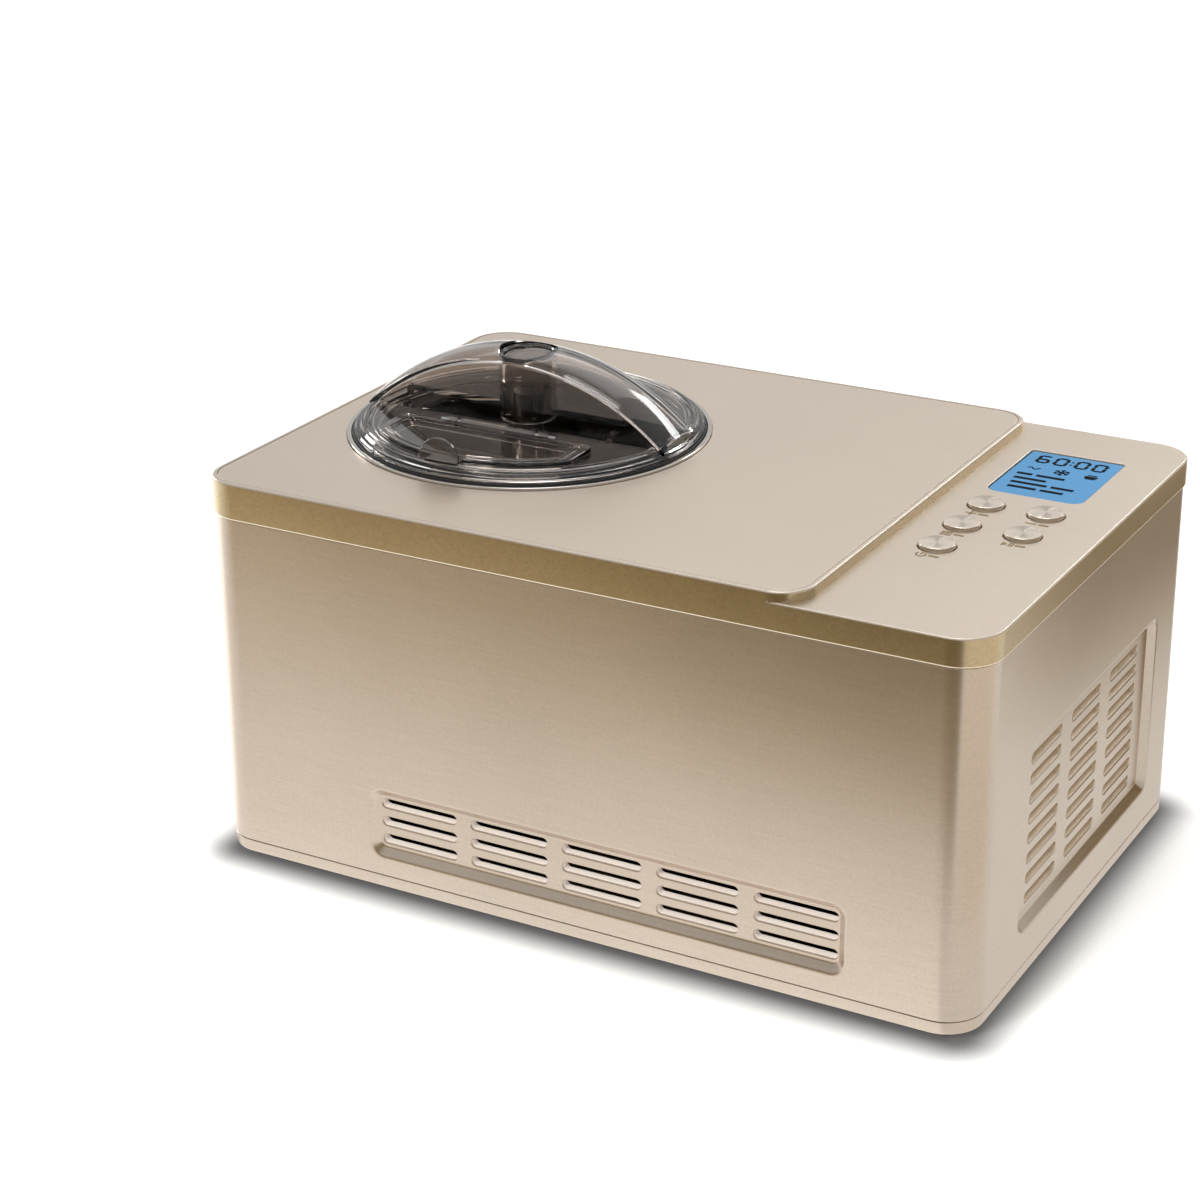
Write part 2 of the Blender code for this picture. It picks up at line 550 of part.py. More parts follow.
def make_paddle():
    """Dasher: a flat frame with two open wings on a hub that drops over the square shaft."""
    reach, half_t = 71.6 * MM, 2 * MM
    bottom, top = BOWL_FLOOR + BOWL_WALL + 1.5 * MM, 190 * MM
    spindle = pivot("paddle_axis", (AXIS_X, AXIS_Y, 0))
    hub_r, socket_z = 15.5 * MM, CONE_TOP + 3 * MM
    hub = [(0, 232 * MM), (8 * MM, 232 * MM), (8 * MM, 200 * MM), (hub_r, 190 * MM), (hub_r, 110 * MM),
           (0, 110 * MM)]
    paddle = add("mixing_paddle", turned(hub, 24), WHITE, parent=spindle)
    wings = block(AXIS_X - reach, AXIS_X + reach, -half_t, half_t, bottom, top)
    join(paddle, wings)
    windows = []
    for side in (-1, 1):
        for low, high in ((92, 130), (140, 176)):
            a, b = AXIS_X + side * 26 * MM, AXIS_X + side * 60 * MM
            windows.append(block(min(a, b), max(a, b), -10 * MM, 10 * MM, low * MM, high * MM))
    clearance = turned([(0, 60 * MM), (20 * MM, 60 * MM), (13 * MM, socket_z), (0, socket_z)], 24,
                       (AXIS_X, AXIS_Y))
    half = SHAFT_SQUARE / 2 + GAP
    socket = block(AXIS_X - half, AXIS_X + half, -half, half, socket_z - OVERRUN, 156 * MM)
    cut(paddle, merged(*windows), clearance, socket)


# ---------------------------------------------------------------- gear drive

def gear_outline(teeth, tip, root, phase=0.0):
    """Involute teeth with a 20 degree pressure angle, thinned for backlash."""
    pitch_r = MODULE * teeth / 2
    base_r = pitch_r * cos(radians(20))
    half_pitch = pi / (2 * teeth) - BACKLASH / (2 * pitch_r)

    def half_angle(radius):
        pressure = acos(min(base_r / radius, 1))
        at_pitch = tan(radians(20)) - radians(20)
        return half_pitch + at_pitch - (tan(pressure) - pressure)

    radii = [pitch_r - root, pitch_r, pitch_r + tip]
    flank = [(r, half_angle(max(r, base_r))) for r in radii]
    points = []
    for tooth in range(teeth):
        middle = phase + 2 * pi * tooth / teeth
        for radius, half in flank:
            points.append((radius * cos(middle - half), radius * sin(middle - half)))
        for radius, half in reversed(flank):
            points.append((radius * cos(middle + half), radius * sin(middle + half)))
    return points


def make_drive():
    spin = pivot("drive_axis", (AXIS_X, AXIS_Y, 0))
    z0 = 43.5 * MM
    shaft = add("drive_shaft", disc(0, 0, SHAFT_R, z0, CONE_TOP + 1 * MM, 16), STEEL, parent=spin)
    half = SHAFT_SQUARE / 2
    join(shaft, block(AXIS_X - half, AXIS_X + half, -half, half, CONE_TOP, 152 * MM))
    wheel = prism(gear_outline(GEAR_TEETH, 1.5 * MM, 2.4 * MM), GEAR_Z, GEAR_Z + GEAR_T)
    gear = add("drive_gear", wheel, WHITE, parent=spin)
    cut(gear, disc(AXIS_X, AXIS_Y, SHAFT_R + GAP, GEAR_Z - OVERRUN, GEAR_Z + GEAR_T + OVERRUN, 16))

    motor_spin = pivot("motor_axis", (MOTOR_X, AXIS_Y, 0))
    phase = pi / PINION_TEETH
    toothed = prism(gear_outline(PINION_TEETH, 1.7 * MM, 2.3 * MM, phase), GEAR_Z, GEAR_Z + GEAR_T)
    pinion = add("motor_pinion", toothed, ("#C8A45A", 0.35, 1.0), parent=motor_spin)
    cut(pinion, disc(MOTOR_X, AXIS_Y, 3.3 * MM, GEAR_Z - OVERRUN, GEAR_Z + GEAR_T + OVERRUN, 12))

    case_low, case_high, wall = 42 * MM, 60 * MM, 2 * MM
    gear_room, pinion_room = 40 * MM, 17 * MM

    def case_outline(extra):
        return rounded(AXIS_X - gear_room - extra, MOTOR_X + pinion_room + extra, -gear_room - extra,
                       gear_room + extra, 12 * MM, 3)

    case = add("gearbox_housing", prism(case_outline(wall), case_low, case_high), ALU)
    cut(case, prism(case_outline(0), case_low - OVERRUN, case_high - wall))
    cut(case, disc(AXIS_X, AXIS_Y, 9.3 * MM, case_low, case_high + OVERRUN, 16))
    cover_z = case_low - GAP - 1.5 * MM
    cover = add("gearbox_cover", prism(case_outline(wall), cover_z, case_low - GAP), STEEL)
    cut(cover, disc(MOTOR_X, AXIS_Y, 12 * MM, cover_z - OVERRUN, case_low + OVERRUN, 20))
    motor_low = FOOT_H + SHEET + 2 * MM
    motor = [(0, motor_low), (22 * MM, motor_low), (24 * MM, motor_low + 2 * MM), (24 * MM, cover_z - GAP),
             (11 * MM, cover_z - GAP), (11 * MM, GEAR_Z - 4 * MM), (3 * MM, GEAR_Z - 4 * MM),
             (3 * MM, GEAR_Z + GEAR_T), (0, GEAR_Z + GEAR_T)]
    add("drive_motor", turned(motor, 24), STEEL, (MOTOR_X, AXIS_Y, 0))


# ---------------------------------------------------------------- cooling side

def make_compressor():
    plate_z, plate_t = 16 * MM, 2 * MM
    cx, cy = COMPRESSOR_AT
    low = plate_z + plate_t + GAP
    shell = [(0, 0), (30, 0), (45, 12), (45, 58), (48, 60), (48, 64), (45, 66), (45, 92), (37, 106),
             (20, 112), (0, 113)]
    pump = [(r * MM, low + z * MM) for r, z in shell]
    body = add("compressor", turned(pump, 28), BLACK, (cx, cy, 0))
    relay = block(cx - 22 * MM, cx + 22 * MM, cy - 56 * MM, cy - 40 * MM, 40 * MM, 74 * MM)
    join(body, relay)
    half = 50 * MM
    add("compressor_base", prism(rounded(cx - half, cx + half, cy - half, cy + half, 10 * MM, 3), plate_z,
                                 plate_z + plate_t), STEEL)
    mount_low = FOOT_H + SHEET + GAP
    tall = plate_z - GAP - mount_low
    grommet = [(0, 0), (8 * MM, 0), (8 * MM, 2 * MM), (6 * MM, tall / 2), (8 * MM, tall - 2 * MM),
               (8 * MM, tall), (0, tall)]
    corners = [(-1, -1), (1, -1), (1, 1), (-1, 1)]
    for number, (sx, sy) in enumerate(corners, 1):
        at = (cx + sx * 38 * MM, cy + sy * 38 * MM, mount_low)
        add(f"compressor_mount_{number}", turned(grommet, 12), RUBBER, at)


def make_condenser():
    """Fins on both sides of a plate that carries the pipes."""
    x0, x1 = CONDENSER_X
    mid, half_t = (x0 + x1) / 2, 2 * MM
    y0, pitch, fin, count = -76 * MM, 7 * MM, 2 * MM, 25
    right, left = [], []
    for i in range(count):
        y = y0 + i * pitch
        right += [(mid + half_t, y), (x1, y), (x1, y + fin), (mid + half_t, y + fin)]
        left += [(mid - half_t, y), (x0, y), (x0, y + fin), (mid - half_t, y + fin)]
    outline = right + left[::-1]
    add("condenser", prism(outline, 26 * MM, 130 * MM), ALU)


def make_fan():
    shroud = add("fan_shroud", block(171 * MM, 174 * MM, -60 * MM, 76 * MM, 12 * MM, 146 * MM), BLACK)
    cut(shroud, along_x_rod(FAN_R + 3 * MM, 160 * MM, 180 * MM, FAN_Y, FAN_Z, 32))
    motor = [(0, 124 * MM), (20 * MM, 124 * MM), (20 * MM, 148 * MM), (6 * MM, 150 * MM), (6 * MM, 153 * MM),
             (2 * MM, 153 * MM), (2 * MM, 166 * MM), (0, 166 * MM)]
    add("fan_motor", moved(turned(motor, 20), ALONG_X), BLACK, (0, FAN_Y, FAN_Z))
    spin = pivot("fan_axis", (0, FAN_Y, FAN_Z))
    hub = [(2.4 * MM, 155 * MM), (14 * MM, 155 * MM), (14 * MM, 167 * MM), (2.4 * MM, 167 * MM)]
    blades = add("fan_blades", moved(turned(hub, 20), ALONG_X), BLACK, parent=spin)
    count, pitch_angle = 5, radians(32)
    for i in range(count):
        blade = block(-0.8 * MM, 0.8 * MM, -13 * MM, 13 * MM, 12 * MM, FAN_R)
        moved(blade, Matrix.Rotation(pitch_angle, 4, 'Z'))
        moved(blade, Matrix.Rotation(2 * pi * i / count, 4, 'X'))
        join(blades, shifted(blade, 161 * MM, FAN_Y, FAN_Z))


def make_pipes():
    cx, cy = COMPRESSOR_AT
    suction = bent([(AXIS_X + 91 * MM, 5 * MM, 184 * MM), (24 * MM, 5 * MM, 184 * MM),
                    (24 * MM, cy, 176 * MM), (cx, cy, 176 * MM), (cx, cy, 134 * MM)], 14 * MM)
    tube("suction_pipe", suction, 4 * MM, COPPER)
    discharge = bent([(cx + 46.5 * MM, cy + 8 * MM, 70 * MM), (128 * MM, cy + 8 * MM, 70 * MM),
                      (128 * MM, 112 * MM, 70 * MM), (190 * MM, 112 * MM, 100 * MM),
                      (190 * MM, 112 * MM, 120 * MM),
                      (190 * MM, 95 * MM, 120 * MM)], 6 * MM)
    tube("discharge_pipe", discharge, 3 * MM, COPPER)
    drier = [(0, 0), (3 * MM, 0), (9 * MM, 8 * MM), (9 * MM, 70 * MM), (3 * MM, 78 * MM), (0, 78 * MM)]
    add("filter_drier", turned(drier, 16), COPPER, (140 * MM, -96 * MM, 36 * MM))
    capillary = bent([(140 * MM, -96 * MM, 114.5 * MM), (140 * MM, -96 * MM, 150 * MM),
                      (20 * MM, -96 * MM, 150 * MM), (20 * MM, -5 * MM, 90 * MM),
                      (AXIS_X + 91 * MM, -5 * MM, 90 * MM)], 10 * MM)
    tube("capillary_tube", capillary, 1.5 * MM, COPPER, sides=6)


# ---------------------------------------------------------------- controls and electrics

def button_at(place):
    column, row = place
    return CONTROL_X + column * BUTTON_PITCH / 2, BUTTON_Y - row * BUTTON_PITCH


def make_controls():
    under_deck = DECK_Z - COVER_SHEET
    switch_top = under_deck - 7.6 * MM
    board_z = switch_top - 5 * MM
    board = block(CONTROL_X - 40 * MM, CONTROL_X + 40 * MM, -64 * MM, 112 * MM, board_z - 1.6 * MM, board_z)
    pcb = add("control_board", board, BOARD)
    switches = []
    for name, place in BUTTON_PLACES.items():
        x, y = button_at(place)
        stem_low, flange = switch_top + 1.5 * MM, under_deck - 3 * MM
        cap = [(0, stem_low), (3 * MM, stem_low), (3 * MM, flange), (BUTTON_R + 2 * MM, flange),
               (BUTTON_R + 2 * MM, flange + 2 * MM), (BUTTON_R, flange + 2 * MM),
               (BUTTON_R, DECK_Z + 1 * MM), (BUTTON_R - 1 * MM, DECK_Z + 1.7 * MM), (0, DECK_Z + 2 * MM)]
        add(name, turned(cap, 16), STEEL, (x, y, 0))
        switches.append(block(x - 3 * MM, x + 3 * MM, y - 3 * MM, y + 3 * MM, board_z - 1 * MM, switch_top))
    join(pcb, merged(*switches))

    half_w, half_d = LCD_W / 2 - GAP, LCD_D / 2 - GAP
    glass = rounded(CONTROL_X - half_w, CONTROL_X + half_w, LCD_Y - half_d, LCD_Y + half_d,
                    (5.7 * MM, 5.7 * MM, 1.7 * MM, 1.7 * MM), 3)
    add("lcd_window", prism(glass, DECK_Z - 2 * MM, DECK_Z - 0.8 * MM), ("#5FA0D7", 0.1, 0.0))
    module_z = (board_z + 1 * MM, DECK_Z - 2 * MM - GAP)
    add("lcd_module", block(CONTROL_X - 23 * MM, CONTROL_X + 23 * MM, LCD_Y - 31 * MM, LCD_Y + 31 * MM,
                            *module_z), BLACK)


def make_electrics():
    power = add("power_board", block(20 * MM, 112 * MM, 122 * MM, 123.6 * MM, 40 * MM, 112 * MM), BOARD)
    parts = [block(28 * MM, 56 * MM, 112 * MM, 122.5 * MM, 48 * MM, 74 * MM),
             block(66 * MM, 78 * MM, 114 * MM, 122.5 * MM, 50 * MM, 90 * MM),
             block(88 * MM, 104 * MM, 116 * MM, 122.5 * MM, 50 * MM, 66 * MM)]
    join(power, merged(*parts))
    half_w, half_h = INLET_W / 2 - GAP, INLET_H / 2 - GAP
    inlet = rounded(-INLET_X - half_w, -INLET_X + half_w, INLET_Z - half_h, INLET_Z + half_h, 2.7 * MM, 2)
    socket = add("power_inlet", moved(prism(inlet, -26 * MM, 0.8 * MM), BACK), BLACK)
    well = rounded(-INLET_X - 12 * MM, -INLET_X + 12 * MM, INLET_Z - 8 * MM, INLET_Z + 8 * MM,
                   (1 * MM, 1 * MM, 5 * MM, 5 * MM), 3)
    cut(socket, moved(prism(well, -16 * MM, OVERRUN), BACK))
    pins = []
    for offset, height in ((-7, -1.5), (0, 2), (7, -1.5)):
        u, v = -INLET_X + offset * MM, INLET_Z + height * MM
        pins.append(prism([(u - 1 * MM, v - 2 * MM), (u + 1 * MM, v - 2 * MM), (u + 1 * MM, v + 2 * MM),
                           (u - 1 * MM, v + 2 * MM)], -18 * MM, -5 * MM))
    join(socket, moved(merged(*pins), BACK))


def main():
    for obj in list(bpy.data.objects):
        bpy.data.objects.remove(obj, do_unlink=True)
    make_base()
    make_shell()
    make_top_cover()
    make_screws()
    make_seat()
    make_lid()
    make_pot()
    make_bowl()
    make_paddle()
    make_drive()
    make_compressor()
    make_condenser()
    make_fan()
    make_pipes()
    make_controls()
    make_electrics()


main()
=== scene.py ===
"""Looks of a self-chilling ice cream maker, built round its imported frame.

Run as a script: it loads the frame, makes each visible piece, lights a small
studio and sets the camera. Every operator also stands in the sidebar panel.
"""

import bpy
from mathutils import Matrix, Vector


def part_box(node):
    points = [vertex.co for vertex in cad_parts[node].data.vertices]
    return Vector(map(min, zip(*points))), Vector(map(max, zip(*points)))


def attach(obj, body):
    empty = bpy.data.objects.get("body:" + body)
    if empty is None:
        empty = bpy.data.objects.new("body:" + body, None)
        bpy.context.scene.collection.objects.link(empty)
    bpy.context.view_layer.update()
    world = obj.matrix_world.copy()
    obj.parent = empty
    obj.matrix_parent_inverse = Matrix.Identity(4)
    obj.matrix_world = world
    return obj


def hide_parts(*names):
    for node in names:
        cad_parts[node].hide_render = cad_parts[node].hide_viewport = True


bl_info = {
    "name": "Ice Cream Maker",
    "version": (1, 0, 0),
    "blender": (4, 5, 0),
    "location": "View3D > Sidebar > Ice Cream Maker",
    "description": "Casing, smoked lid, controls and works of a countertop ice cream maker",
    "category": "Add Mesh",
}

from collections import namedtuple
from math import acos, asin, atan2, cos, pi, radians, sin, tan

import bmesh
import bpy
from bpy.props import FloatProperty, FloatVectorProperty, PointerProperty, StringProperty
from mathutils import Matrix, Vector

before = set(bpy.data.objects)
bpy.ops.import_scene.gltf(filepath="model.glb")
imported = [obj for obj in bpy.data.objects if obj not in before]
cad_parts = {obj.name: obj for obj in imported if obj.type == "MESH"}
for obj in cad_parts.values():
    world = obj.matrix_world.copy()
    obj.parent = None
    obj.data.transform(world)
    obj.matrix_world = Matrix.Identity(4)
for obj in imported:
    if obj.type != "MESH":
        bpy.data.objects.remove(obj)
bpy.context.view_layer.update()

MM = 0.001
OVERRUN = 3 * MM        # how far a cutter passes the surface it cuts
HAIR = 0.02 * MM        # keeps two flush solids from sharing a face
INK = 0.1 * MM          # thickness of a printed mark

SHELL, COVER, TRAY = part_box("outer_shell"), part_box("top_cover"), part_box("base_pan")
PLATE, SEAT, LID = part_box("top_plate"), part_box("lid_seat_ring"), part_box("lid")
GASKET, BOWL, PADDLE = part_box("lid_gasket"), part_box("mixing_bowl"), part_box("mixing_paddle")
WINDOW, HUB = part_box("lcd_window"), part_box("lid_hub")
PIN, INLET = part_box("hinge_pin"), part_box("power_inlet")
AXIS = (SEAT[0] + SEAT[1]) / 2      # the lid, bowl and drive share this upright axis
CONTROL_DECK = WINDOW[1].z + 0.8 * MM
LID_DECK = LID[0].z + 7.3 * MM      # top of the lid's flat deck, worked out from its skirt
HINGE_Y, HINGE_Z = (PIN[0].y + PIN[1].y) / 2, (PIN[0].z + PIN[1].z) / 2
LUG_X = 27 * MM                     # how far each hinge lug stands from the middle
PIN_BORE = 1.3 * MM
BUTTONS = ("button_plus", "button_minus", "button_menu", "button_start", "button_power")


def middle_of(name):
    """Centre of a CAD node's box."""
    low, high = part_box(name)
    return (low + high) / 2


# ------------------------------------------------------------------ colour and nodes

def shade(hex_colour):
    """Linear red, green and blue of an sRGB hex value."""
    parts = [int(hex_colour[i:i + 2], 16) / 255 for i in (1, 3, 5)]
    return tuple(c / 12.92 if c <= 0.04045 else ((c + 0.055) / 1.055) ** 2.4 for c in parts)


def node(tree, kind, inputs=None, **settings):
    """Add a node, change its settings, and set or link its inputs."""
    made = tree.nodes.new(kind)
    for name, value in settings.items():
        setattr(made, name, value)
    for key, value in (inputs or {}).items():
        if isinstance(value, bpy.types.NodeSocket):
            tree.links.new(value, made.inputs[key])
        else:
            made.inputs[key].default_value = value
    return made


def new_material(name, colour, roughness, **shader_values):
    """Material with a Principled shader; returns it with its tree and shader."""
    mat = bpy.data.materials.new(name)
    mat.use_nodes = True
    tree = mat.node_tree
    shader = tree.nodes["Principled BSDF"]
    shader.inputs["Base Color"].default_value = (*colour, 1)
    shader.inputs["Roughness"].default_value = roughness
    for key, value in shader_values.items():
        shader.inputs[key.replace("_", " ")].default_value = value
    mat.diffuse_color = (*colour, 1)
    return mat, tree, shader


def object_place(tree):
    """Where a point lies, in metres from the object's origin."""
    return node(tree, "ShaderNodeTexCoord").outputs["Object"]


def vector_maths(tree, operation, first, second=None, output=0):
    """Output of a sum on one or two vectors."""
    inputs = {0: first} if second is None else {0: first, 1: second}
    return node(tree, "ShaderNodeVectorMath", inputs, operation=operation).outputs[output]


def blend(tree, factor, first, second):
    """Colour that goes from the first to the second with a factor."""
    inputs = {0: factor, 6: (*first, 1), 7: (*second, 1)}
    return node(tree, "ShaderNodeMix", inputs, data_type='RGBA').outputs[2]


def remap(tree, value, low, high, new_low, new_high, **settings):
    """Value stretched from one range to another."""
    return node(tree, "ShaderNodeMapRange", {0: value, 1: low, 2: high, 3: new_low, 4: new_high},
                **settings).outputs[0]


def drift(tree, shader, factor, colour, darkest, lightest, *sockets):
    """Let a colour wander with a factor between two multiples of itself."""
    tint = blend(tree, factor, [c * darkest for c in colour], [min(c * lightest, 1) for c in colour])
    for socket in sockets or ("Base Color",):
        tree.links.new(tint, shader.inputs[socket])


def weather(tree, shader, noise, smoothest, roughest, strength, depth):
    """Vary the gloss with a noise and emboss the same noise, to a depth in metres."""
    tree.links.new(remap(tree, noise, 0.3, 0.7, smoothest, roughest), shader.inputs["Roughness"])
    bump = node(tree, "ShaderNodeBump", {"Height": noise, "Strength": strength, "Distance": depth})
    tree.links.new(bump.outputs[0], shader.inputs["Normal"])


def brushed(name, colour, roughness, lines, mottle, anisotropy, depth=0.00002, turn=0.25):
    """Metal with fine parallel scratches.

    lines is the scratch size along X, Y and Z in millimetres, and mottle how far
    the tone drifts over a hand's width.
    """
    mat, tree, shader = new_material(name, colour, roughness, Metallic=1.0, Anisotropic=anisotropy,
                                     Anisotropic_Rotation=turn)
    place = object_place(tree)
    stretch = node(tree, "ShaderNodeMapping", {"Vector": place, "Scale": [1 / (size * MM) for size in lines]})
    scratch = node(tree, "ShaderNodeTexNoise", {"Vector": stretch.outputs[0], "Scale": 1.0, "Detail": 3.0})
    cloud = node(tree, "ShaderNodeTexNoise", {"Vector": place, "Scale": 9.0, "Detail": 2.0})
    grain = node(tree, "ShaderNodeTexNoise", {"Vector": place, "Scale": 700.0, "Detail": 1.0})
    total = node(tree, "ShaderNodeMath", {0: scratch.outputs[0], 1: cloud.outputs[0]}, operation='ADD')
    total = node(tree, "ShaderNodeMath", {0: total.outputs[0], 1: grain.outputs[0]}, operation='ADD')
    tone = remap(tree, total.outputs[0], 1.1, 1.9, 0.0, 1.0)
    drift(tree, shader, tone, colour, 1 - mottle, 1 + mottle)
    weather(tree, shader, scratch.outputs[0], roughness * 0.95, roughness * 1.06, 0.25, depth)
    return mat


def moulded(name, colour, roughness, grain_mm, tone=0.06, depth=0.00003, **shader_values):
    """Plastic, rubber or enamel with a moulded grain and a slight drift in tone."""
    mat, tree, shader = new_material(name, colour, roughness, **shader_values)
    place = object_place(tree)
    grain = node(tree, "ShaderNodeTexNoise", {"Vector": place, "Scale": 1 / (grain_mm * MM), "Detail": 2.0})
    cloud = node(tree, "ShaderNodeTexNoise", {"Vector": place, "Scale": 22.0, "Detail": 2.0})
    drift(tree, shader, cloud.outputs[0], colour, 1 - tone, 1 + tone)
    weather(tree, shader, grain.outputs[0], roughness * 0.9, min(roughness * 1.15, 1), 0.3, depth)
    return mat


# ------------------------------------------------------------------ real finishes

def champagne_steel(colour):
    # Brushed stainless wrap with a champagne coating: satin, with level scratches that the
    # eye reads as a faint sideways streak. Real ones are 0.1 mm wide; 0.7 mm is what shows.
    return brushed("champagne_brushed_steel", colour, 0.3, (26, 26, 0.7), 0.07, 0.45)


def anodised_band_shaded_copy(colour):
    # Anodised aluminium moulding, bead blasted, with no direction to its grain. Its deeper gold on the
    # cover's sideways faces is painted shade: the shaded copy of the pale satin top.
    return brushed("gold_anodised_aluminium_shaded_copy", colour, 0.3, (3, 3, 1.2), 0.09, 0.2)


def satin_sheet(colour):
    # Bead-blasted anodised aluminium sheet: soft, pale, nearly even, with a very fine grain.
    return brushed("champagne_satin_aluminium", colour, 0.42, (14, 1.1, 1.1), 0.035, 0.0)


def cut_edge_highlight(colour):
    # Diamond-cut aluminium edge: a turned chamfer, much smoother than the faces it parts. Its near-white
    # colour is a painted highlight along the band's lower lip.
    return brushed("diamond_cut_aluminium_highlight", colour, 0.16, (8, 8, 2), 0.03, 0.3)


def spun_button(colour, centre):
    # Spun aluminium: circular turning marks round each cap's centre gather the light into a bow tie.
    mat, tree, shader = new_material("spun_aluminium", colour, 0.24, Metallic=1.0, Anisotropic=0.9)
    arm = vector_maths(tree, 'SUBTRACT', object_place(tree), tuple(centre))
    way = vector_maths(tree, 'NORMALIZE', vector_maths(tree, 'CROSS_PRODUCT', (0, 0, 1), arm))
    tree.links.new(way, shader.inputs["Tangent"])
    reach = vector_maths(tree, 'LENGTH', arm, output="Value")
    rings = node(tree, "ShaderNodeTexNoise", {"W": reach, "Scale": 3500.0, "Detail": 2.0},
                 noise_dimensions='1D')
    drift(tree, shader, rings.outputs[0], colour, 0.86, 1.12)
    return mat


def slot_paint_lit_copy(colour):
    # Pearl lacquer on the front slots' flanges, half matt, lit by the front lamp. Its near-white is also a
    # painted highlight: the lit copy of the slot paint, whose side copy is darker.
    return moulded("pearl_lacquer_lit_copy", colour, 0.4, 0.8, tone=0.04)


def slot_paint_shaded_copy(colour):
    # Gold lacquer on the side slots' flanges: the shaded copy of the slot paint, its deeper gold a painted
    # shade.
    return moulded("gold_lacquer_shaded_copy", colour, 0.42, 0.8, tone=0.05, Metallic=0.3)


def smoked_acrylic(tint):
    # Injection-moulded smoked SAN: clear, hard and glossy, grey-brown through its thickness.
    mat, tree, shader = new_material("smoked_clear_plastic", tint, 0.02, IOR=1.49,
                                     Transmission_Weight=1.0, Specular_IOR_Level=0.3)
    flow = node(tree, "ShaderNodeTexNoise", {"Vector": object_place(tree), "Scale": 30.0, "Detail": 1.0})
    tree.links.new(remap(tree, flow.outputs[0], 0.3, 0.7, 0.01, 0.03), shader.inputs["Roughness"])
    return mat


def display_blue(colour):
    # Backlit liquid crystal under a hard-coated window: even light blue, slightly brighter mid-way.
    mat, tree, shader = new_material("backlit_display", colour, 0.2, Specular_IOR_Level=0.3,
                                     Emission_Strength=0.06)
    glow = node(tree, "ShaderNodeTexNoise", {"Vector": object_place(tree), "Scale": 18.0, "Detail": 1.0})
    drift(tree, shader, glow.outputs[0], colour, 0.9, 1.08, "Base Color", "Emission Color")
    return mat


def works_finishes():
    """Finishes of the bowl, the paddle and the works, made once and shared."""
    return {
        # Drawn stainless wire of the bail: satin, drawn along its length.
        "stainless": brushed("drawn_stainless_steel", shade("#C2C3C4"), 0.25, (6, 6, 0.5), 0.04, 0.5),
        # Hard-anodised aluminium: the bowl, near black with a brown cast; the near black is painted shade for
        # the dim inside seen through the lid.
        "anodised": brushed("hard_anodised_aluminium_painted_shade", shade("#38322E"), 0.35, (6, 6, 0.5), 0.06, 0.3),
        # Nylon of the paddle, half matt; its dark grey is painted shade for the dim inside under the lid.
        "paddle_nylon_painted_shade": moulded("dark_nylon_painted_shade", shade("#2B2725"), 0.4, 0.8),
        # Drawn aluminium, left as pressed: matt and slightly cloudy.
        "aluminium": brushed("drawn_aluminium", shade("#BFC1C3"), 0.4, (2, 2, 2), 0.06, 0.0),
        # Copper tube, dulled by handling.
        "copper": brushed("drawn_copper_tube", shade("#B8704A"), 0.32, (3, 3, 3), 0.12, 0.1),
        # Free-cutting brass, as turned.
        "brass": brushed("turned_brass", shade("#C9A85C"), 0.28, (1, 1, 1), 0.06, 0.3),
        # Zinc-plated steel shaft and plates: dull blue-grey.
        "zinc_steel": brushed("zinc_plated_steel", shade("#A9ABAE"), 0.33, (2, 2, 2), 0.08, 0.1),
        # Stoved enamel over the compressor's steel pot: black and glossy with slight orange peel.
        "enamel": moulded("black_stoved_enamel", shade("#17181A"), 0.22, 2.5, depth=0.0002),
        # Natural rubber feet and mounts: matt, faintly dusty.
        "rubber": moulded("black_rubber", shade("#1B1B1B"), 0.8, 0.5),
        # Moulded ABS with a spark-eroded grain.
        "black_abs": moulded("black_abs", shade("#202021"), 0.45, 0.6),
        # White acetal: slightly waxy, lets a little light in.
        "acetal": moulded("white_acetal", shade("#E9E7DF"), 0.38, 0.8, Subsurface_Weight=0.1,
                          Subsurface_Scale=0.002),
        # Rigid polyurethane foam, cut surface.
        "foam": moulded("polyurethane_foam", shade("#D9CFA6"), 0.95, 1.5, tone=0.12, depth=0.0006),
        # Glass-fibre board under green solder mask.
        "board": moulded("green_circuit_board", shade("#1F6238"), 0.35, 1.0),
    }


# ------------------------------------------------------------------ outlines

def soften(corners, steps):
    """Outline through (x, y, radius) corners, each turned by an arc where its radius isn't 0."""
    points = []
    count = len(corners)
    for index, (x, y, radius) in enumerate(corners):
        here = Vector((x, y))
        before = Vector(corners[index - 1][:2]) - here
        after = Vector(corners[(index + 1) % count][:2]) - here
        if radius <= 0:
            points.append((x, y))
            continue
        reach_limit = 0.499 * min(before.length, after.length)
        before.normalize()
        after.normalize()
        half = acos(max(-1, min(1, before.dot(after)))) / 2
        reach = min(radius / tan(half), reach_limit)
        radius = reach * tan(half)
        centre = here + (before + after).normalized() * (radius / sin(half))
        first = here + before * reach - centre
        last = here + after * reach - centre
        start, end = atan2(first.y, first.x), atan2(last.y, last.x)
        turn = (end - start + pi) % (2 * pi) - pi
        for step in range(steps + 1):
            angle = start + turn * step / steps
            points.append((centre.x + radius * cos(angle), centre.y + radius * sin(angle)))
    return points


def inset(corners, distance):
    """Anticlockwise convex outline moved inwards, with its corner radii kept concentric."""
    moved = []
    count = len(corners)
    for index, (x, y, radius) in enumerate(corners):
        here = Vector((x, y))
        incoming = (here - Vector(corners[index - 1][:2])).normalized()
        outgoing = (Vector(corners[(index + 1) % count][:2]) - here).normalized()
        normal_in, normal_out = Vector((-incoming.y, incoming.x)), Vector((-outgoing.y, outgoing.x))
        miter = (normal_in + normal_out).normalized()
        here = here + miter * (distance / max(miter.dot(normal_in), 0.2))
        kept = max(radius - distance, 0.05 * MM) if radius > 0 else 0
        moved.append((here.x, here.y, kept))
    return moved


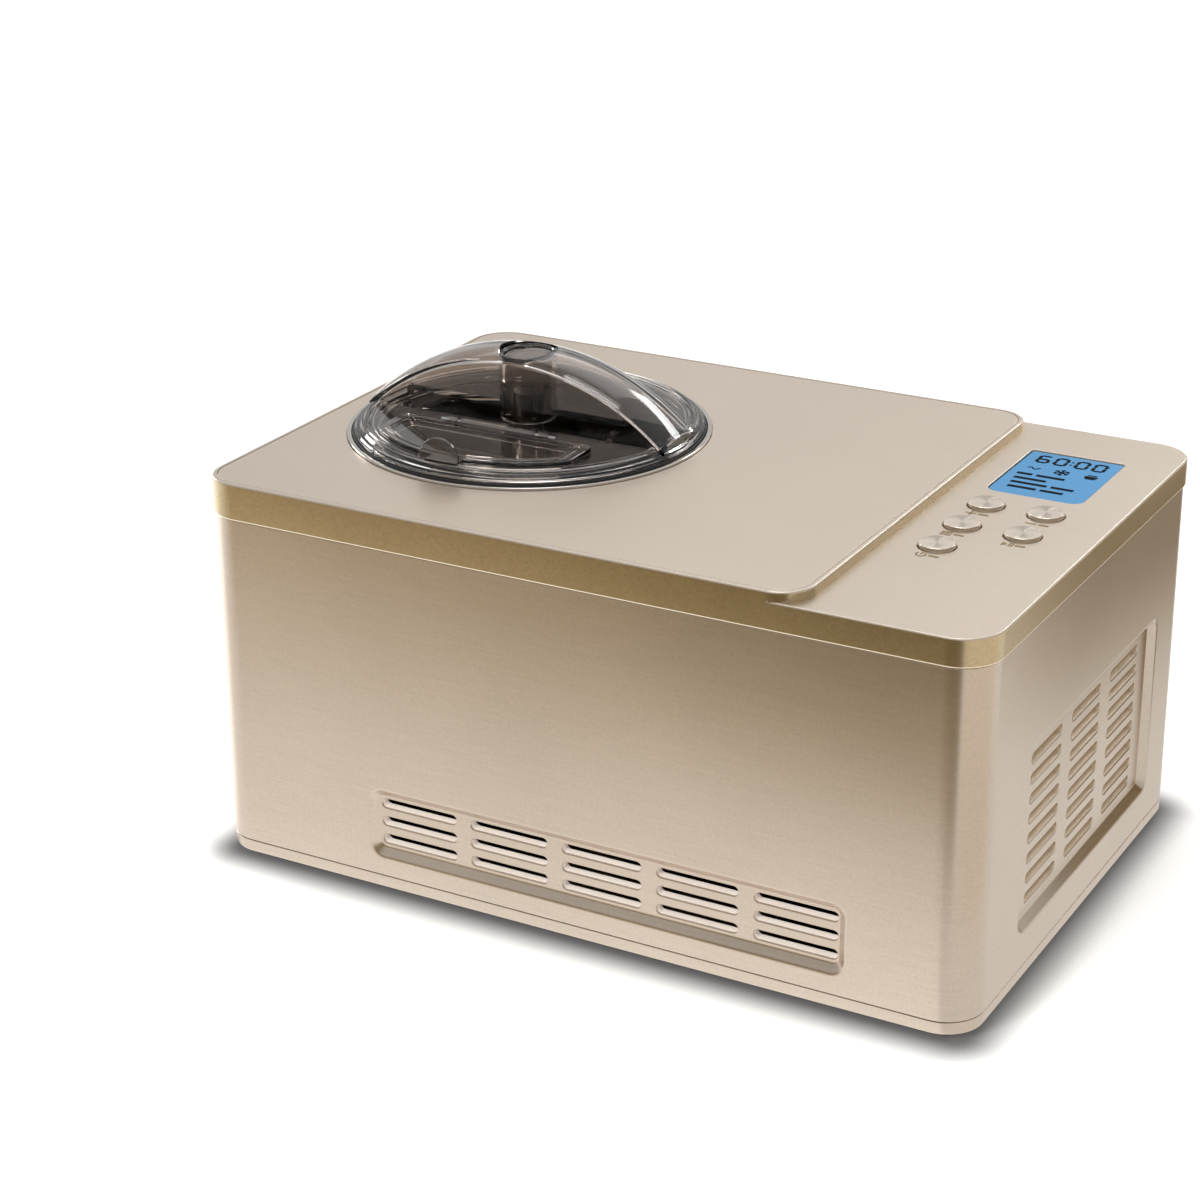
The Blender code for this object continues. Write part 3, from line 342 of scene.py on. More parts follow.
def rectangle(x0, x1, y0, y1, *radii):
    """Rectangle corners from the lower left, anticlockwise, with one radius or four."""
    radii = radii if len(radii) == 4 else radii * 4
    return list(zip((x0, x1, x1, x0), (y0, y0, y1, y1), radii))


def centred(x, y, half_x, half_y, *radii):
    """Rectangle corners about a centre."""
    return rectangle(x - half_x, x + half_x, y - half_y, y + half_y, *radii)


def circle(x, y, radius, steps):
    """Corners of a many-sided circle."""
    return [(x + radius * cos(2 * pi * i / steps), y + radius * sin(2 * pi * i / steps), 0)
            for i in range(steps)]


# ------------------------------------------------------------------ solids

def stack(levels):
    """Closed solid through (outline, height) levels, all with the same number of points."""
    return loft([[(x, y, height) for x, y in outline] for outline, height in levels])


def loft(rings):
    """Closed solid through rings of points, all with the same number of points."""
    bm = bmesh.new()
    rings = [[bm.verts.new(point) for point in ring] for ring in rings]
    loops = [[bm.edges.new((a, b)) for a, b in zip(ring, ring[1:] + ring[:1])] for ring in rings]
    for low, high in zip(loops, loops[1:]):
        bmesh.ops.bridge_loops(bm, edges=low + high)
    bm.faces.new(rings[0])
    bm.faces.new(rings[-1])
    bmesh.ops.recalc_face_normals(bm, faces=bm.faces)
    return bm


def slab(corners, z0, z1, top=0.0, bottom=0.0, steps=8, rounds=4):
    """Plate over an outline with rounded top and bottom edges."""
    levels = []
    if bottom > 0:
        for i in range(rounds):
            angle = pi / 2 * i / rounds
            levels.append((bottom * (1 - sin(angle)), z0 + bottom * (1 - cos(angle))))
        levels.append((0, z0 + bottom))
    else:
        levels.append((0, z0))
    if top > 0:
        levels.append((0, z1 - top))
        for i in range(1, rounds + 1):
            angle = pi / 2 * i / rounds
            levels.append((top * (1 - cos(angle)), z1 - top * (1 - sin(angle))))
    else:
        levels.append((0, z1))
    return stack([(soften(inset(corners, by), steps), z) for by, z in levels])


def round_plate(radius, z0, z1, steps=96):
    """Round plate on the lid's axis."""
    return slab(circle(AXIS.x, AXIS.y, radius, steps), z0, z1)


def turned(profile, steps=96, at=AXIS, arc_steps=4):
    """Solid of revolution about an upright axis, from (radius, height, fillet) corners."""
    points = soften([(r, z, fillet) for r, z, fillet in profile], arc_steps)
    bm = bmesh.new()
    verts = [bm.verts.new((r, 0, z)) for r, z in points]
    pairs = list(zip(verts, verts[1:]))
    if points[0][0] > 0 or points[-1][0] > 0:
        pairs.append((verts[-1], verts[0]))
    edges = [bm.edges.new(pair) for pair in pairs]
    bmesh.ops.spin(bm, geom=verts + edges, axis=(0, 0, 1), cent=(0, 0, 0), angle=2 * pi,
                   steps=steps, use_merge=True)
    bmesh.ops.remove_doubles(bm, verts=bm.verts, dist=1e-6)
    bmesh.ops.recalc_face_normals(bm, faces=bm.faces)
    bmesh.ops.translate(bm, verts=bm.verts, vec=(at[0], at[1], 0))
    return bm


def merged(*solids):
    """Several closed solids in one mesh."""
    first = solids[0]
    for other in solids[1:]:
        mesh = bpy.data.meshes.new("joined")
        other.to_mesh(mesh)
        other.free()
        first.from_mesh(mesh)
        bpy.data.meshes.remove(mesh)
    return first


def placed(bm, matrix):
    """Move a solid by a matrix, keeping its faces outwards if the matrix mirrors it."""
    bmesh.ops.transform(bm, matrix=matrix, verts=bm.verts)
    if matrix.determinant() < 0:
        bmesh.ops.reverse_faces(bm, faces=bm.faces)
    return bm


def as_object(name, bm):
    """Object made from a mesh under construction, which is used up."""
    mesh = bpy.data.meshes.new(name)
    bm.to_mesh(mesh)
    bm.free()
    obj = bpy.data.objects.new(name, mesh)
    bpy.context.collection.objects.link(obj)
    return obj


def cut(tool):
    """Step that takes a tool away from a solid."""
    return 'DIFFERENCE', tool


def join(tool):
    """Step that adds a tool to a solid."""
    return 'UNION', tool


def carved(name, bm, *steps):
    """Mesh of a solid after its cuts and joins, taken in order."""
    obj = as_object(name, bm)
    tools = []
    for operation, tool in steps:
        helper = as_object(name + "_tool", tool)
        tools.append(helper)
        mod = obj.modifiers.new(operation.title(), 'BOOLEAN')
        mod.operation = operation
        mod.solver = 'EXACT'
        mod.object = helper
    shaped = obj.evaluated_get(bpy.context.evaluated_depsgraph_get())
    result = bmesh.new()
    result.from_mesh(shaped.to_mesh())
    shaped.to_mesh_clear()
    for helper in tools + [obj]:
        mesh = helper.data
        bpy.data.objects.remove(helper)
        bpy.data.meshes.remove(mesh)
    bmesh.ops.dissolve_degenerate(result, edges=result.edges, dist=1e-6)
    return result


def piece(name, bm, material, body, replaces=(), sharp=32, split=None):
    """Make a finished piece: smooth shading, material, body, and hide the nodes it stands for.

    split gives extra materials as {index: (material, test)}, where test takes a face.
    """
    if split:
        for index, (_, belongs) in split.items():
            for face in bm.faces:
                if belongs(face):
                    face.material_index = index
    obj = as_object(name, bm)
    obj.data.materials.append(material)
    for index in sorted(split or {}):
        obj.data.materials.append(split[index][0])
    obj.data.shade_smooth()
    obj.data.set_sharp_from_angle(angle=radians(sharp))
    even = obj.modifiers.new("Even shading", 'WEIGHTED_NORMAL')
    even.keep_sharp = True
    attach(obj, body)
    if replaces:
        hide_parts(*replaces)
    return obj


def facing_side(x=0, y=0, z=0):
    """Turns a flat shape's (x, y, z) to (depth, height, across): it stands up and faces sideways."""
    return Matrix(((0, 0, 1, x), (1, 0, 0, y), (0, 1, 0, z), (0, 0, 0, 1)))


def facing_front(y):
    """Stands a flat shape up at a depth y, so that it faces the front."""
    return Matrix(((1, 0, 0, 0), (0, 0, -1, y), (0, 1, 0, 0), (0, 0, 0, 1)))


def wall(origin, right, outwards):
    """Turns panel coordinates (right, up, outwards) into the casing's."""
    up = Vector((0, 0, 1))
    matrix = Matrix((right, up, outwards)).transposed().to_4x4()
    matrix.translation = origin
    return matrix


FRONT = wall(Vector((0, SHELL[0].y, 0)), Vector((1, 0, 0)), Vector((0, -1, 0)))
RIGHT = wall(Vector((SHELL[1].x, 0, 0)), Vector((0, 1, 0)), Vector((1, 0, 0)))
BACK = wall(Vector((0, SHELL[1].y, 0)), Vector((-1, 0, 0)), Vector((0, 1, 0)))


# ------------------------------------------------------------------ settings

def length(name, about, default_mm, low, high):
    """Setting for a length, its values given in millimetres."""
    return FloatProperty(name=name, description=about, default=default_mm * MM, min=low * MM, max=high * MM,
                         subtype='DISTANCE', unit='LENGTH', precision=4)


def colour(name, about, hex_colour):
    """Setting for a colour, given as an sRGB hex value."""
    return FloatVectorProperty(name=name, description=about, subtype='COLOR', size=3, min=0, max=1,
                               default=shade(hex_colour))


class MakerCasing(bpy.types.PropertyGroup):
    """Casing sheet, band and vents."""
    corner: length("Corner radius", "Upright corners of the casing", 21, 5, 60)
    sheet: length("Sheet", "Thickness of the casing wall", 1.5, 0.5, 3)
    band_edge: length("Top edge", "Rounding of the top cover's edges", 1.1, 0.2, 2)
    platform_corner: length("Platform corner", "Right-hand corners of the raised platform", 18, 5, 40)
    rim: length("Plate rim", "Width of the rim round the inset top plate", 2.5, 1, 6)
    vent_depth: length("Vent depth", "How deep the vent recesses are pressed", 4, 1, 6)
    steel: colour("Wrap", "Champagne coating of the wrap", "#CFC1B2")
    # The band colour is painted shade: it goes only on the cover's sideways faces, the shaded copy of the
    # satin top.
    band: colour("Band", "Band round the top cover", "#C8B796")
    satin: colour("Top", "Satin top sheet and control deck", "#C5B9AB")
    # The cut edge's near-white colour is a painted highlight on the band's lower lip.
    edge: colour("Cut edge", "Bright cut edge of the band", "#F6E9D2")
    # The two slot colours are lit and shaded copies of one paint: near-white painted highlight in front,
    # deeper gold painted shade at the side.
    slots: colour("Front slots", "Paint inside the front slots", "#FFF3EA")
    side_slots_shaded_copy: colour("Side slots", "Paint inside the side slots", "#CDB594")


class MakerLid(bpy.types.PropertyGroup):
    """Smoked lid, grip and filler cap."""
    wall: length("Wall", "Thickness of the moulded lid", 2.5, 1, 4)
    grip_crown: length("Grip crown", "How far the grip's edges drop from its crest", 3.5, 0, 6)
    tint: colour("Smoke", "Tint of the clear plastic", "#CFC8C3")


class MakerControls(bpy.types.PropertyGroup):
    """Display and push buttons."""
    digits: StringProperty(name="Time", description="Minutes and seconds on the display", default="60:00")
    blue: colour("Backlight", "Display colour", "#3B7FAE")
    metal: colour("Buttons", "Spun button caps", "#D3C7B8")


class MakerStage(bpy.types.PropertyGroup):
    """Floor, lights and camera."""
    floor: colour("Floor", "Plain pale floor", "#F4F3F1")
    lens: FloatProperty(name="Lens", description="Camera lens in millimetres", default=84.73, min=20, max=200)
    ambient: FloatProperty(name="Ambient", description="Strength of the even white surround", default=0.64,
                           min=0, max=5)
    key_power: FloatProperty(name="Key light", description="Power of the overhead light in watts",
                             default=6, min=0, max=500, subtype='POWER', unit='POWER')
    front_power: FloatProperty(name="Front light", description="Power of the front light in watts",
                               default=62, min=0, max=500, subtype='POWER', unit='POWER')
    back_power: FloatProperty(name="Back light", description="Power of the light behind the lid in watts",
                              default=10, min=0, max=500, subtype='POWER', unit='POWER')
    card: colour("Card", "Brown cards reflected in the walls", "#6E5726")


# ------------------------------------------------------------------ casing

def casing_outline(casing, by=0.0):
    """Plan of the top cover, or inset from it."""
    low, high = COVER
    return inset(rectangle(low.x, high.x, low.y, high.y, casing.corner), by)


def platform_outline(casing, by=0.0):
    """Plan of the raised platform, or inset from it."""
    low, high = COVER
    right = PLATE[1].x + casing.rim + 0.3 * MM
    near, far = casing.corner, casing.platform_corner
    return inset(rectangle(low.x, right, low.y, high.y, near, far, far, near), by)


Vent = namedtuple("Vent", "wall span rise grid slot pitch flange climb")
VENTS = {
    # Recess along the wall and upwards, columns and rows, slot size and pitch, how deep the
    # slots' flanges run and how steeply they climb inwards; lengths in millimetres
    "front": Vent(FRONT, (-115.5, 148), (22, 59), (5, 3), (44, 5), (52.5, 10), 5.5, 0.0),
    "side": Vent(RIGHT, (-84, 99), (30, 127.5), (3, 8), (41, 5.5), (54, 10.6), 4.2, 0.55),
}


def recess_cutter(vent, depth, thickness=0.0):
    """Pressed recess with a soft brow and floor edge; a thickness gives its inner face."""
    corners = rectangle(*[v * MM for v in vent.span], *[v * MM for v in vent.rise], 7 * MM)
    if thickness:
        side = thickness * (2 ** 0.5 - 1) + 0.2 * MM
        levels = [(-side - 4 * MM, 2 * MM), (-side - 4 * MM + depth, -depth - 0.3 * MM),
                  (-side + depth, -depth - thickness)]
    else:
        brow = 1.2 * MM
        levels = [(-brow * 1.4, 2 * MM), (-brow * 1.4, -0.001 * MM)]
        for i in range(1, 5):
            angle = pi / 4 * i / 4
            levels.append((-brow * 1.4 + 2.4 * brow * sin(angle), -2.4 * brow * (1 - cos(angle))))
        levels += [(depth - 0.6 * MM, -depth + 0.5 * MM), (depth, -depth + 0.12 * MM),
                   (depth + 0.8 * MM, -depth)]
    return stack([(soften(inset(corners, by), 6), z) for by, z in levels])


def slot_cutters(vent, depth):
    """All the slots of a vent, each with a rolled lip and its climbing flange."""
    (columns, rows), (step_x, step_z) = vent.grid, vent.pitch
    half_w, half_h = [size * MM / 2 for size in vent.slot]
    mid_x, mid_z = sum(vent.span) / 2, sum(vent.rise) / 2
    flange, lip = vent.flange * MM, 0.7 * MM
    cutters = []
    for column in range(columns):
        for row in range(rows):
            x = (mid_x + (column - (columns - 1) / 2) * step_x) * MM
            z = (mid_z + (row - (rows - 1) / 2) * step_z) * MM
            ends = centred(x, z, half_w, half_h, half_h * 0.98)
            levels = [(0, -depth - flange - OVERRUN), (0, -depth - lip)]
            levels += [(-lip * (1 - cos(a)), -depth - lip * (1 - sin(a))) for a in (pi / 6, pi / 3, pi / 2)]
            levels.append((-lip, -depth + 1 * MM))
            cutters.append(stack([([(x, y - vent.climb * (z + depth)) for x, y in soften(inset(ends, by), 4)],
                                   z) for by, z in levels]))
    return merged(*cutters)


class MAKER_OT_shell(bpy.types.Operator):
    """Brushed wrap with its pressed front and side vents"""
    bl_idname = "maker.shell"
    bl_label = "Wrap"

    def execute(self, context):
        casing = context.scene.maker_casing
        depth = casing.vent_depth
        skin = COVER[1].x - SHELL[1].x
        low, high = SHELL
        inner = slab(casing_outline(casing, skin + casing.sheet), low.z - OVERRUN, high.z + OVERRUN, steps=10)
        recesses, linings, slots = [], [], []
        for vent in VENTS.values():
            recesses.append(cut(placed(recess_cutter(vent, depth), vent.wall)))
            linings.append(cut(placed(recess_cutter(vent, depth, vent.flange * MM), vent.wall)))
            slots.append(cut(placed(slot_cutters(vent, depth), vent.wall)))
        cavity = carved("shell_cavity", inner, *linings)
        play = 0.4 * MM
        hole = rectangle(-INLET[1].x - play, -INLET[0].x + play, INLET[0].z - play, INLET[1].z + play, 3 * MM)
        inlet_hole = placed(slab(hole, -10 * MM, OVERRUN, steps=4), BACK)
        body = slab(casing_outline(casing, skin), low.z, high.z, top=0.3 * MM, bottom=0.3 * MM, steps=10)
        shell = carved("wrap", body, *recesses, cut(cavity), *slots, cut(inlet_hole))
        lip_foot = depth + 0.75 * MM

        def in_slot(face, vent):
            x, y, z = vent.wall.inverted() @ face.calc_center_median()
            level = abs((vent.wall.inverted().to_3x3() @ face.normal).z) < 0.6
            return (vent.span[0] * MM < x < vent.span[1] * MM and vent.rise[0] * MM < y < vent.rise[1] * MM
                    and -lip_foot - vent.flange * MM < z < -lip_foot and level)

        # Front slot flanges get the lit copy of the slot paint (painted highlight), side slot flanges the
        # shaded copy (painted shade).
        piece("wrap", shell, champagne_steel(casing.steel), "housing", ["outer_shell"],
              split={1: (slot_paint_lit_copy(casing.slots), lambda face: in_slot(face, VENTS["front"])),
                     2: (slot_paint_shaded_copy(casing.side_slots_shaded_copy), lambda face: in_slot(face, VENTS["side"]))})
        return {'FINISHED'}


class MAKER_OT_tray(bpy.types.Operator):
    """Base tray below the wrap's lower seam"""
    bl_idname = "maker.tray"
    bl_label = "Base tray"

    def execute(self, context):
        casing = context.scene.maker_casing
        low, high = TRAY
        skin = COVER[1].x - TRAY[1].x
        outer = slab(casing_outline(casing, skin), low.z, high.z, top=0.4 * MM, bottom=2 * MM, steps=10)
        hollow = slab(casing_outline(casing, skin + casing.sheet), low.z + casing.sheet, high.z + OVERRUN,
                      bottom=1 * MM, steps=10)
        ribs = []
        for i in range(9):
            x = (-120 + 30 * i) * MM
            rib = centred(x, 0, 3 * MM, 70 * MM, 2.9 * MM)
            ribs.append(slab(rib, low.z - OVERRUN, low.z + 0.6 * MM, steps=5))
        tray = carved("tray", outer, cut(hollow), cut(merged(*ribs)))
        piece("tray", tray, champagne_steel(casing.steel), "housing", ["base_pan"])
        return {'FINISHED'}


class MAKER_OT_cover(bpy.types.Operator):
    """Top cover: dark band, raised platform rim and control deck"""
    bl_idname = "maker.cover"
    bl_label = "Top cover"

    def execute(self, context):
        casing = context.scene.maker_casing
        low, high = COVER
        deck = CONTROL_DECK
        edge = casing.band_edge
        plate_floor = PLATE[0].z - 0.3 * MM
        band = slab(casing_outline(casing), low.z, deck, top=edge, bottom=edge, steps=10)
        platform = slab(platform_outline(casing, -HAIR), deck - 6 * MM, high.z, top=edge, steps=10)
        wall_in = 2 * MM
        below = slab(casing_outline(casing, wall_in), low.z - OVERRUN, deck - 2.5 * MM, top=1 * MM, steps=10)
        above = slab(platform_outline(casing, wall_in + 0.5 * MM), deck - 8 * MM, plate_floor - 2.5 * MM,
                     steps=10)
        sunk = slab(platform_outline(casing, casing.rim), plate_floor, high.z + OVERRUN, steps=10)
        mouth = round_plate(89.5 * MM, low.z, high.z + OVERRUN)
        holes = []
        for name in BUTTONS:
            flare = [(0, deck - 8 * MM, 0), (9.4 * MM, deck - 8 * MM, 0), (9.4 * MM, deck - 0.4 * MM, 0),
                     (9.8 * MM, deck, 0), (9.8 * MM, deck + 1 * MM, 0), (0, deck + 1 * MM, 0)]
            holes.append(turned(flare, 48, middle_of(name)))
        opening = window_outline(-0.3 * MM)
        levels = [(0, deck - 8 * MM), (0, deck - 0.6 * MM), (-0.25 * MM, deck - 0.2 * MM), (-0.6 * MM, deck),
                  (-0.6 * MM, deck + 1 * MM)]
        holes.append(stack([(soften(inset(opening, by), 6), z) for by, z in levels]))
        cover = carved("cover", band, join(platform), cut(below), cut(above), cut(sunk), cut(mouth),
                       cut(merged(*holes)))
        top_z = deck - edge * 0.75

        # Up-facing faces get the pale satin and sideways faces the deeper gold band: a split by facing that
        # is painted light, lit and shaded copies of one finish.
        def faces_up(face):
            return face.normal.z > 0.35 and face.calc_center_median().z > top_z

        def cut_lip_highlight(face):
            middle = face.calc_center_median()
            return middle.z < low.z + edge * 1.02 and face.normal.z < 0.25 and abs(face.normal.z) > 0.01

        piece("cover", cover, anodised_band_shaded_copy(casing.band), "housing", ["top_cover"],
              split={1: (satin_sheet(casing.satin), faces_up), 2: (cut_edge_highlight(casing.edge), cut_lip_highlight)})
        return {'FINISHED'}


class MAKER_OT_plate(bpy.types.Operator):
    """Satin top plate inset in the platform"""
    bl_idname = "maker.plate"
    bl_label = "Top plate"

    def execute(self, context):
        casing = context.scene.maker_casing
        low, high = PLATE
        sheet = slab(platform_outline(casing, casing.rim + 0.35 * MM), low.z, high.z, top=0.25 * MM, steps=12)
        hole = round_plate(SEAT[1].x - AXIS.x + 0.35 * MM, low.z - OVERRUN, high.z + OVERRUN)
        plate = carved("plate", sheet, cut(hole))
        piece("plate", plate, satin_sheet(casing.satin), "housing", ["top_plate"])
        return {'FINISHED'}


class MAKER_OT_seat(bpy.types.Operator):
    """Trim ring the lid sits in, with its silicone gasket"""
    bl_idname = "maker.seat"
    bl_label = "Lid seat"

    def execute(self, context):
        low, high = SEAT
        outer, inner = high.x - AXIS.x, 86 * MM
        neck = 89.2 * MM
        base, floor = PLATE[0].z, high.z - 0.8 * MM
        ring = [(inner, low.z, 0.3 * MM), (neck, low.z, 0.3 * MM), (neck, base, 0), (outer, base, 0),
                (outer, high.z, 0.5 * MM), (93.4 * MM, high.z, 0.4 * MM), (93.1 * MM, floor, 0.2 * MM),
                (inner, floor, 0.3 * MM)]
        # Polished aluminium trim, turned: brighter and cooler than the sheet round it.
        bright = brushed("polished_aluminium", shade("#CFCAC3"), 0.14, (1, 1, 1), 0.03, 0.3)
        piece("seat_ring", turned(ring, 128), bright, "housing", ["lid_seat_ring"])
        gasket_low, gasket_high = GASKET
        r0, r1 = 86.7 * MM, 92.9 * MM
        lip = [(r0, gasket_low.z, 0.3 * MM), (r1, gasket_low.z, 0.3 * MM), (r1, gasket_high.z, 0.3 * MM),
               (91.4 * MM, gasket_high.z, 0.3 * MM), (90.4 * MM, gasket_low.z + 0.4 * MM, 0.3 * MM),
               (88.6 * MM, gasket_low.z + 0.4 * MM, 0.3 * MM), (87.8 * MM, gasket_high.z, 0.3 * MM),
               (r0, gasket_high.z, 0.2 * MM)]
        silicone = moulded("black_silicone", shade("#121212"), 0.55, 0.8)
        piece("gasket", turned(lip, 128), silicone, "housing", ["lid_gasket"])
        return {'FINISHED'}


# ------------------------------------------------------------------ lid

ARCH_R = 130 * MM       # radius of the grip's arch, seen from the front


def grip_solid(half_length, half_width, radius, crown, bottom, sections=40, spans=8):
    """Arched grip across the lid: a crowned strip on upright webs, closed below."""
    centre_z = LID[1].z - ARCH_R
    shoulder = 0.66 * MM        # step from the strip's edge down to the top of each web
    rings = []
    for i in range(sections + 1):
        x = -half_length * cos(pi * i / sections)
        arch = centre_z + (radius ** 2 - x * x) ** 0.5
        ring = [(x, -half_width, bottom), (x, half_width, bottom)]
        for j in range(spans + 1):
            across = cos(pi * j / spans)
            height = arch - crown * abs(across) ** 2.2 - (0 if j % spans else shoulder)
            ring.append((x, half_width * across, max(height, bottom + 0.2 * MM)))
        rings.append(ring)
    bm = loft(rings)
    bmesh.ops.translate(bm, verts=bm.verts, vec=(AXIS.x, AXIS.y, 0))
    return bm


def cap_corners(back, front_radius, half_width, arc_points=14):
    """Front segment of the lid as corners: straight back and sides, round front."""
    reach = asin(half_width / front_radius)
    corners = []
    for i in range(arc_points + 1):
        angle = -pi / 2 - reach + 2 * reach * i / arc_points
        rounding = 3 * MM if i in (0, arc_points) else 0
        corners.append((AXIS.x + front_radius * cos(angle), AXIS.y + front_radius * sin(angle), rounding))
    corners += [(AXIS.x + half_width, AXIS.y - back, 4 * MM), (AXIS.x - half_width, AXIS.y - back, 4 * MM)]
    return corners


def rod(radius, x0, x1, y, z, steps=24):
    """Round bar parallel to X."""
    bar = slab(circle(0, 0, radius, steps), x0, x1, top=radius * 0.2, bottom=radius * 0.2, rounds=2)
    return placed(bar, facing_side(y=y, z=z))


class MAKER_OT_lid(bpy.types.Operator):
    """Smoked lid with its stepped rim, hollow arched grip and centre hub"""
    bl_idname = "maker.lid"
    bl_label = "Lid"

    def execute(self, context):
        lid = context.scene.maker_lid
        plastic = smoked_acrylic(lid.tint)
        low, crest = LID[0].z, LID[1].z
        rim_z = GASKET[1].z + 0.3 * MM
        under = LID_DECK - lid.wall
        profile = [(0, LID_DECK, 0), (83.2 * MM, LID_DECK, 0.8 * MM),
                   (84.2 * MM, LID_DECK + 0.9 * MM, 0.4 * MM), (85.9 * MM, LID_DECK + 1.1 * MM, 0.5 * MM),
                   (86.8 * MM, LID_DECK + 0.2 * MM, 0.3 * MM),
                   (87.8 * MM, LID_DECK, 0.4 * MM), (89.0 * MM, rim_z + 2.7 * MM, 0.4 * MM),
                   (90.4 * MM, rim_z + 2.4 * MM, 0.4 * MM), (91.3 * MM, rim_z + 1.4 * MM, 0.4 * MM),
                   (92 * MM, rim_z + 1.2 * MM, 0.3 * MM), (92 * MM, rim_z, 0.3 * MM),
                   (84.4 * MM, rim_z, 0.2 * MM), (84.4 * MM, low, 0.4 * MM), (82.4 * MM, low, 0.4 * MM),
                   (82.4 * MM, under, 1.2 * MM), (0, under, 0)]
        disc = turned(profile, 144)
        half_l, half_w = 89 * MM, 17.5 * MM
        outer = grip_solid(half_l, half_w, ARCH_R, lid.grip_crown, under + 1 * MM)
        inner = grip_solid(half_l - 1.5 * lid.wall, half_w - lid.wall, ARCH_R - lid.wall, lid.grip_crown,
                           under - OVERRUN)
        lugs = []
        for side in (-1, 1):
            x = AXIS.x + side * LUG_X
            ear = rectangle(HINGE_Y - 2 * MM, HINGE_Y + 2.5 * MM, LID_DECK - 1 * MM, HINGE_Z + 2.2 * MM,
                            0.3 * MM, 0.3 * MM, 2 * MM, 2 * MM)
            lugs.append(placed(slab(ear, -3 * MM, 3 * MM, top=0.3 * MM, bottom=0.3 * MM, steps=4),
                               facing_side(x)))
        doorway = slab(cap_corners(35 * MM, 78 * MM, 52 * MM), under - OVERRUN, LID_DECK + 1.5 * MM, steps=4)
        hub_hole = round_plate(15.3 * MM, crest - 20 * MM, crest + OVERRUN, 48)
        bore = rod(PIN_BORE, AXIS.x - 40 * MM, AXIS.x + 40 * MM, HINGE_Y, HINGE_Z)
        shell = carved("lid_shell", disc, join(outer), cut(inner), join(merged(*lugs)), cut(doorway),
                       cut(hub_hole), cut(bore))
        piece("lid_shell", shell, plastic, "lid", ["lid"], sharp=28)
        self.hub(plastic, lid)
        steel = brushed("bright_drawn_steel", shade("#B9BABC"), 0.2, (4, 1, 1), 0.03, 0.3)
        piece("hinge_rod", rod(1 * MM, PIN[0].x, PIN[1].x, HINGE_Y, HINGE_Z), steel, "lid",
              ["hinge_pin"])
        return {'FINISHED'}

    def hub(self, plastic, lid):
        """Ribbed tube that steadies the paddle's upper end, closed by a dimple in the grip."""
        low, high = HUB[0].z, HUB[1].z
        outer, inner = 15 * MM, 12.2 * MM
        tube = [(0, high - 1.2 * MM, 0), (13.2 * MM, high - 1.2 * MM, 0.6 * MM), (13.8 * MM, high, 0.4 * MM),
                (outer, high, 0.4 * MM), (outer, low, 0.5 * MM), (inner, low, 0.5 * MM),
                (inner, high - 3.4 * MM, 1 * MM), (0, high - 3.4 * MM, 0)]
        ribs = []
        for i in range(4):
            rib = rectangle(9.3 * MM, 12.8 * MM, -0.8 * MM, 0.8 * MM, 0.3 * MM)
            turn = Matrix.Translation((AXIS.x, AXIS.y, 0)) @ Matrix.Rotation(pi / 4 + pi / 2 * i, 4, 'Z')
            ribs.append(placed(slab(rib, low + 2 * MM, high - 3 * MM, bottom=0.3 * MM, steps=3), turn))
        bm = carved("lid_tube", turned(tube, 64), join(merged(*ribs)))
        piece("lid_tube", bm, plastic, "lid", ["lid_hub"], sharp=28)


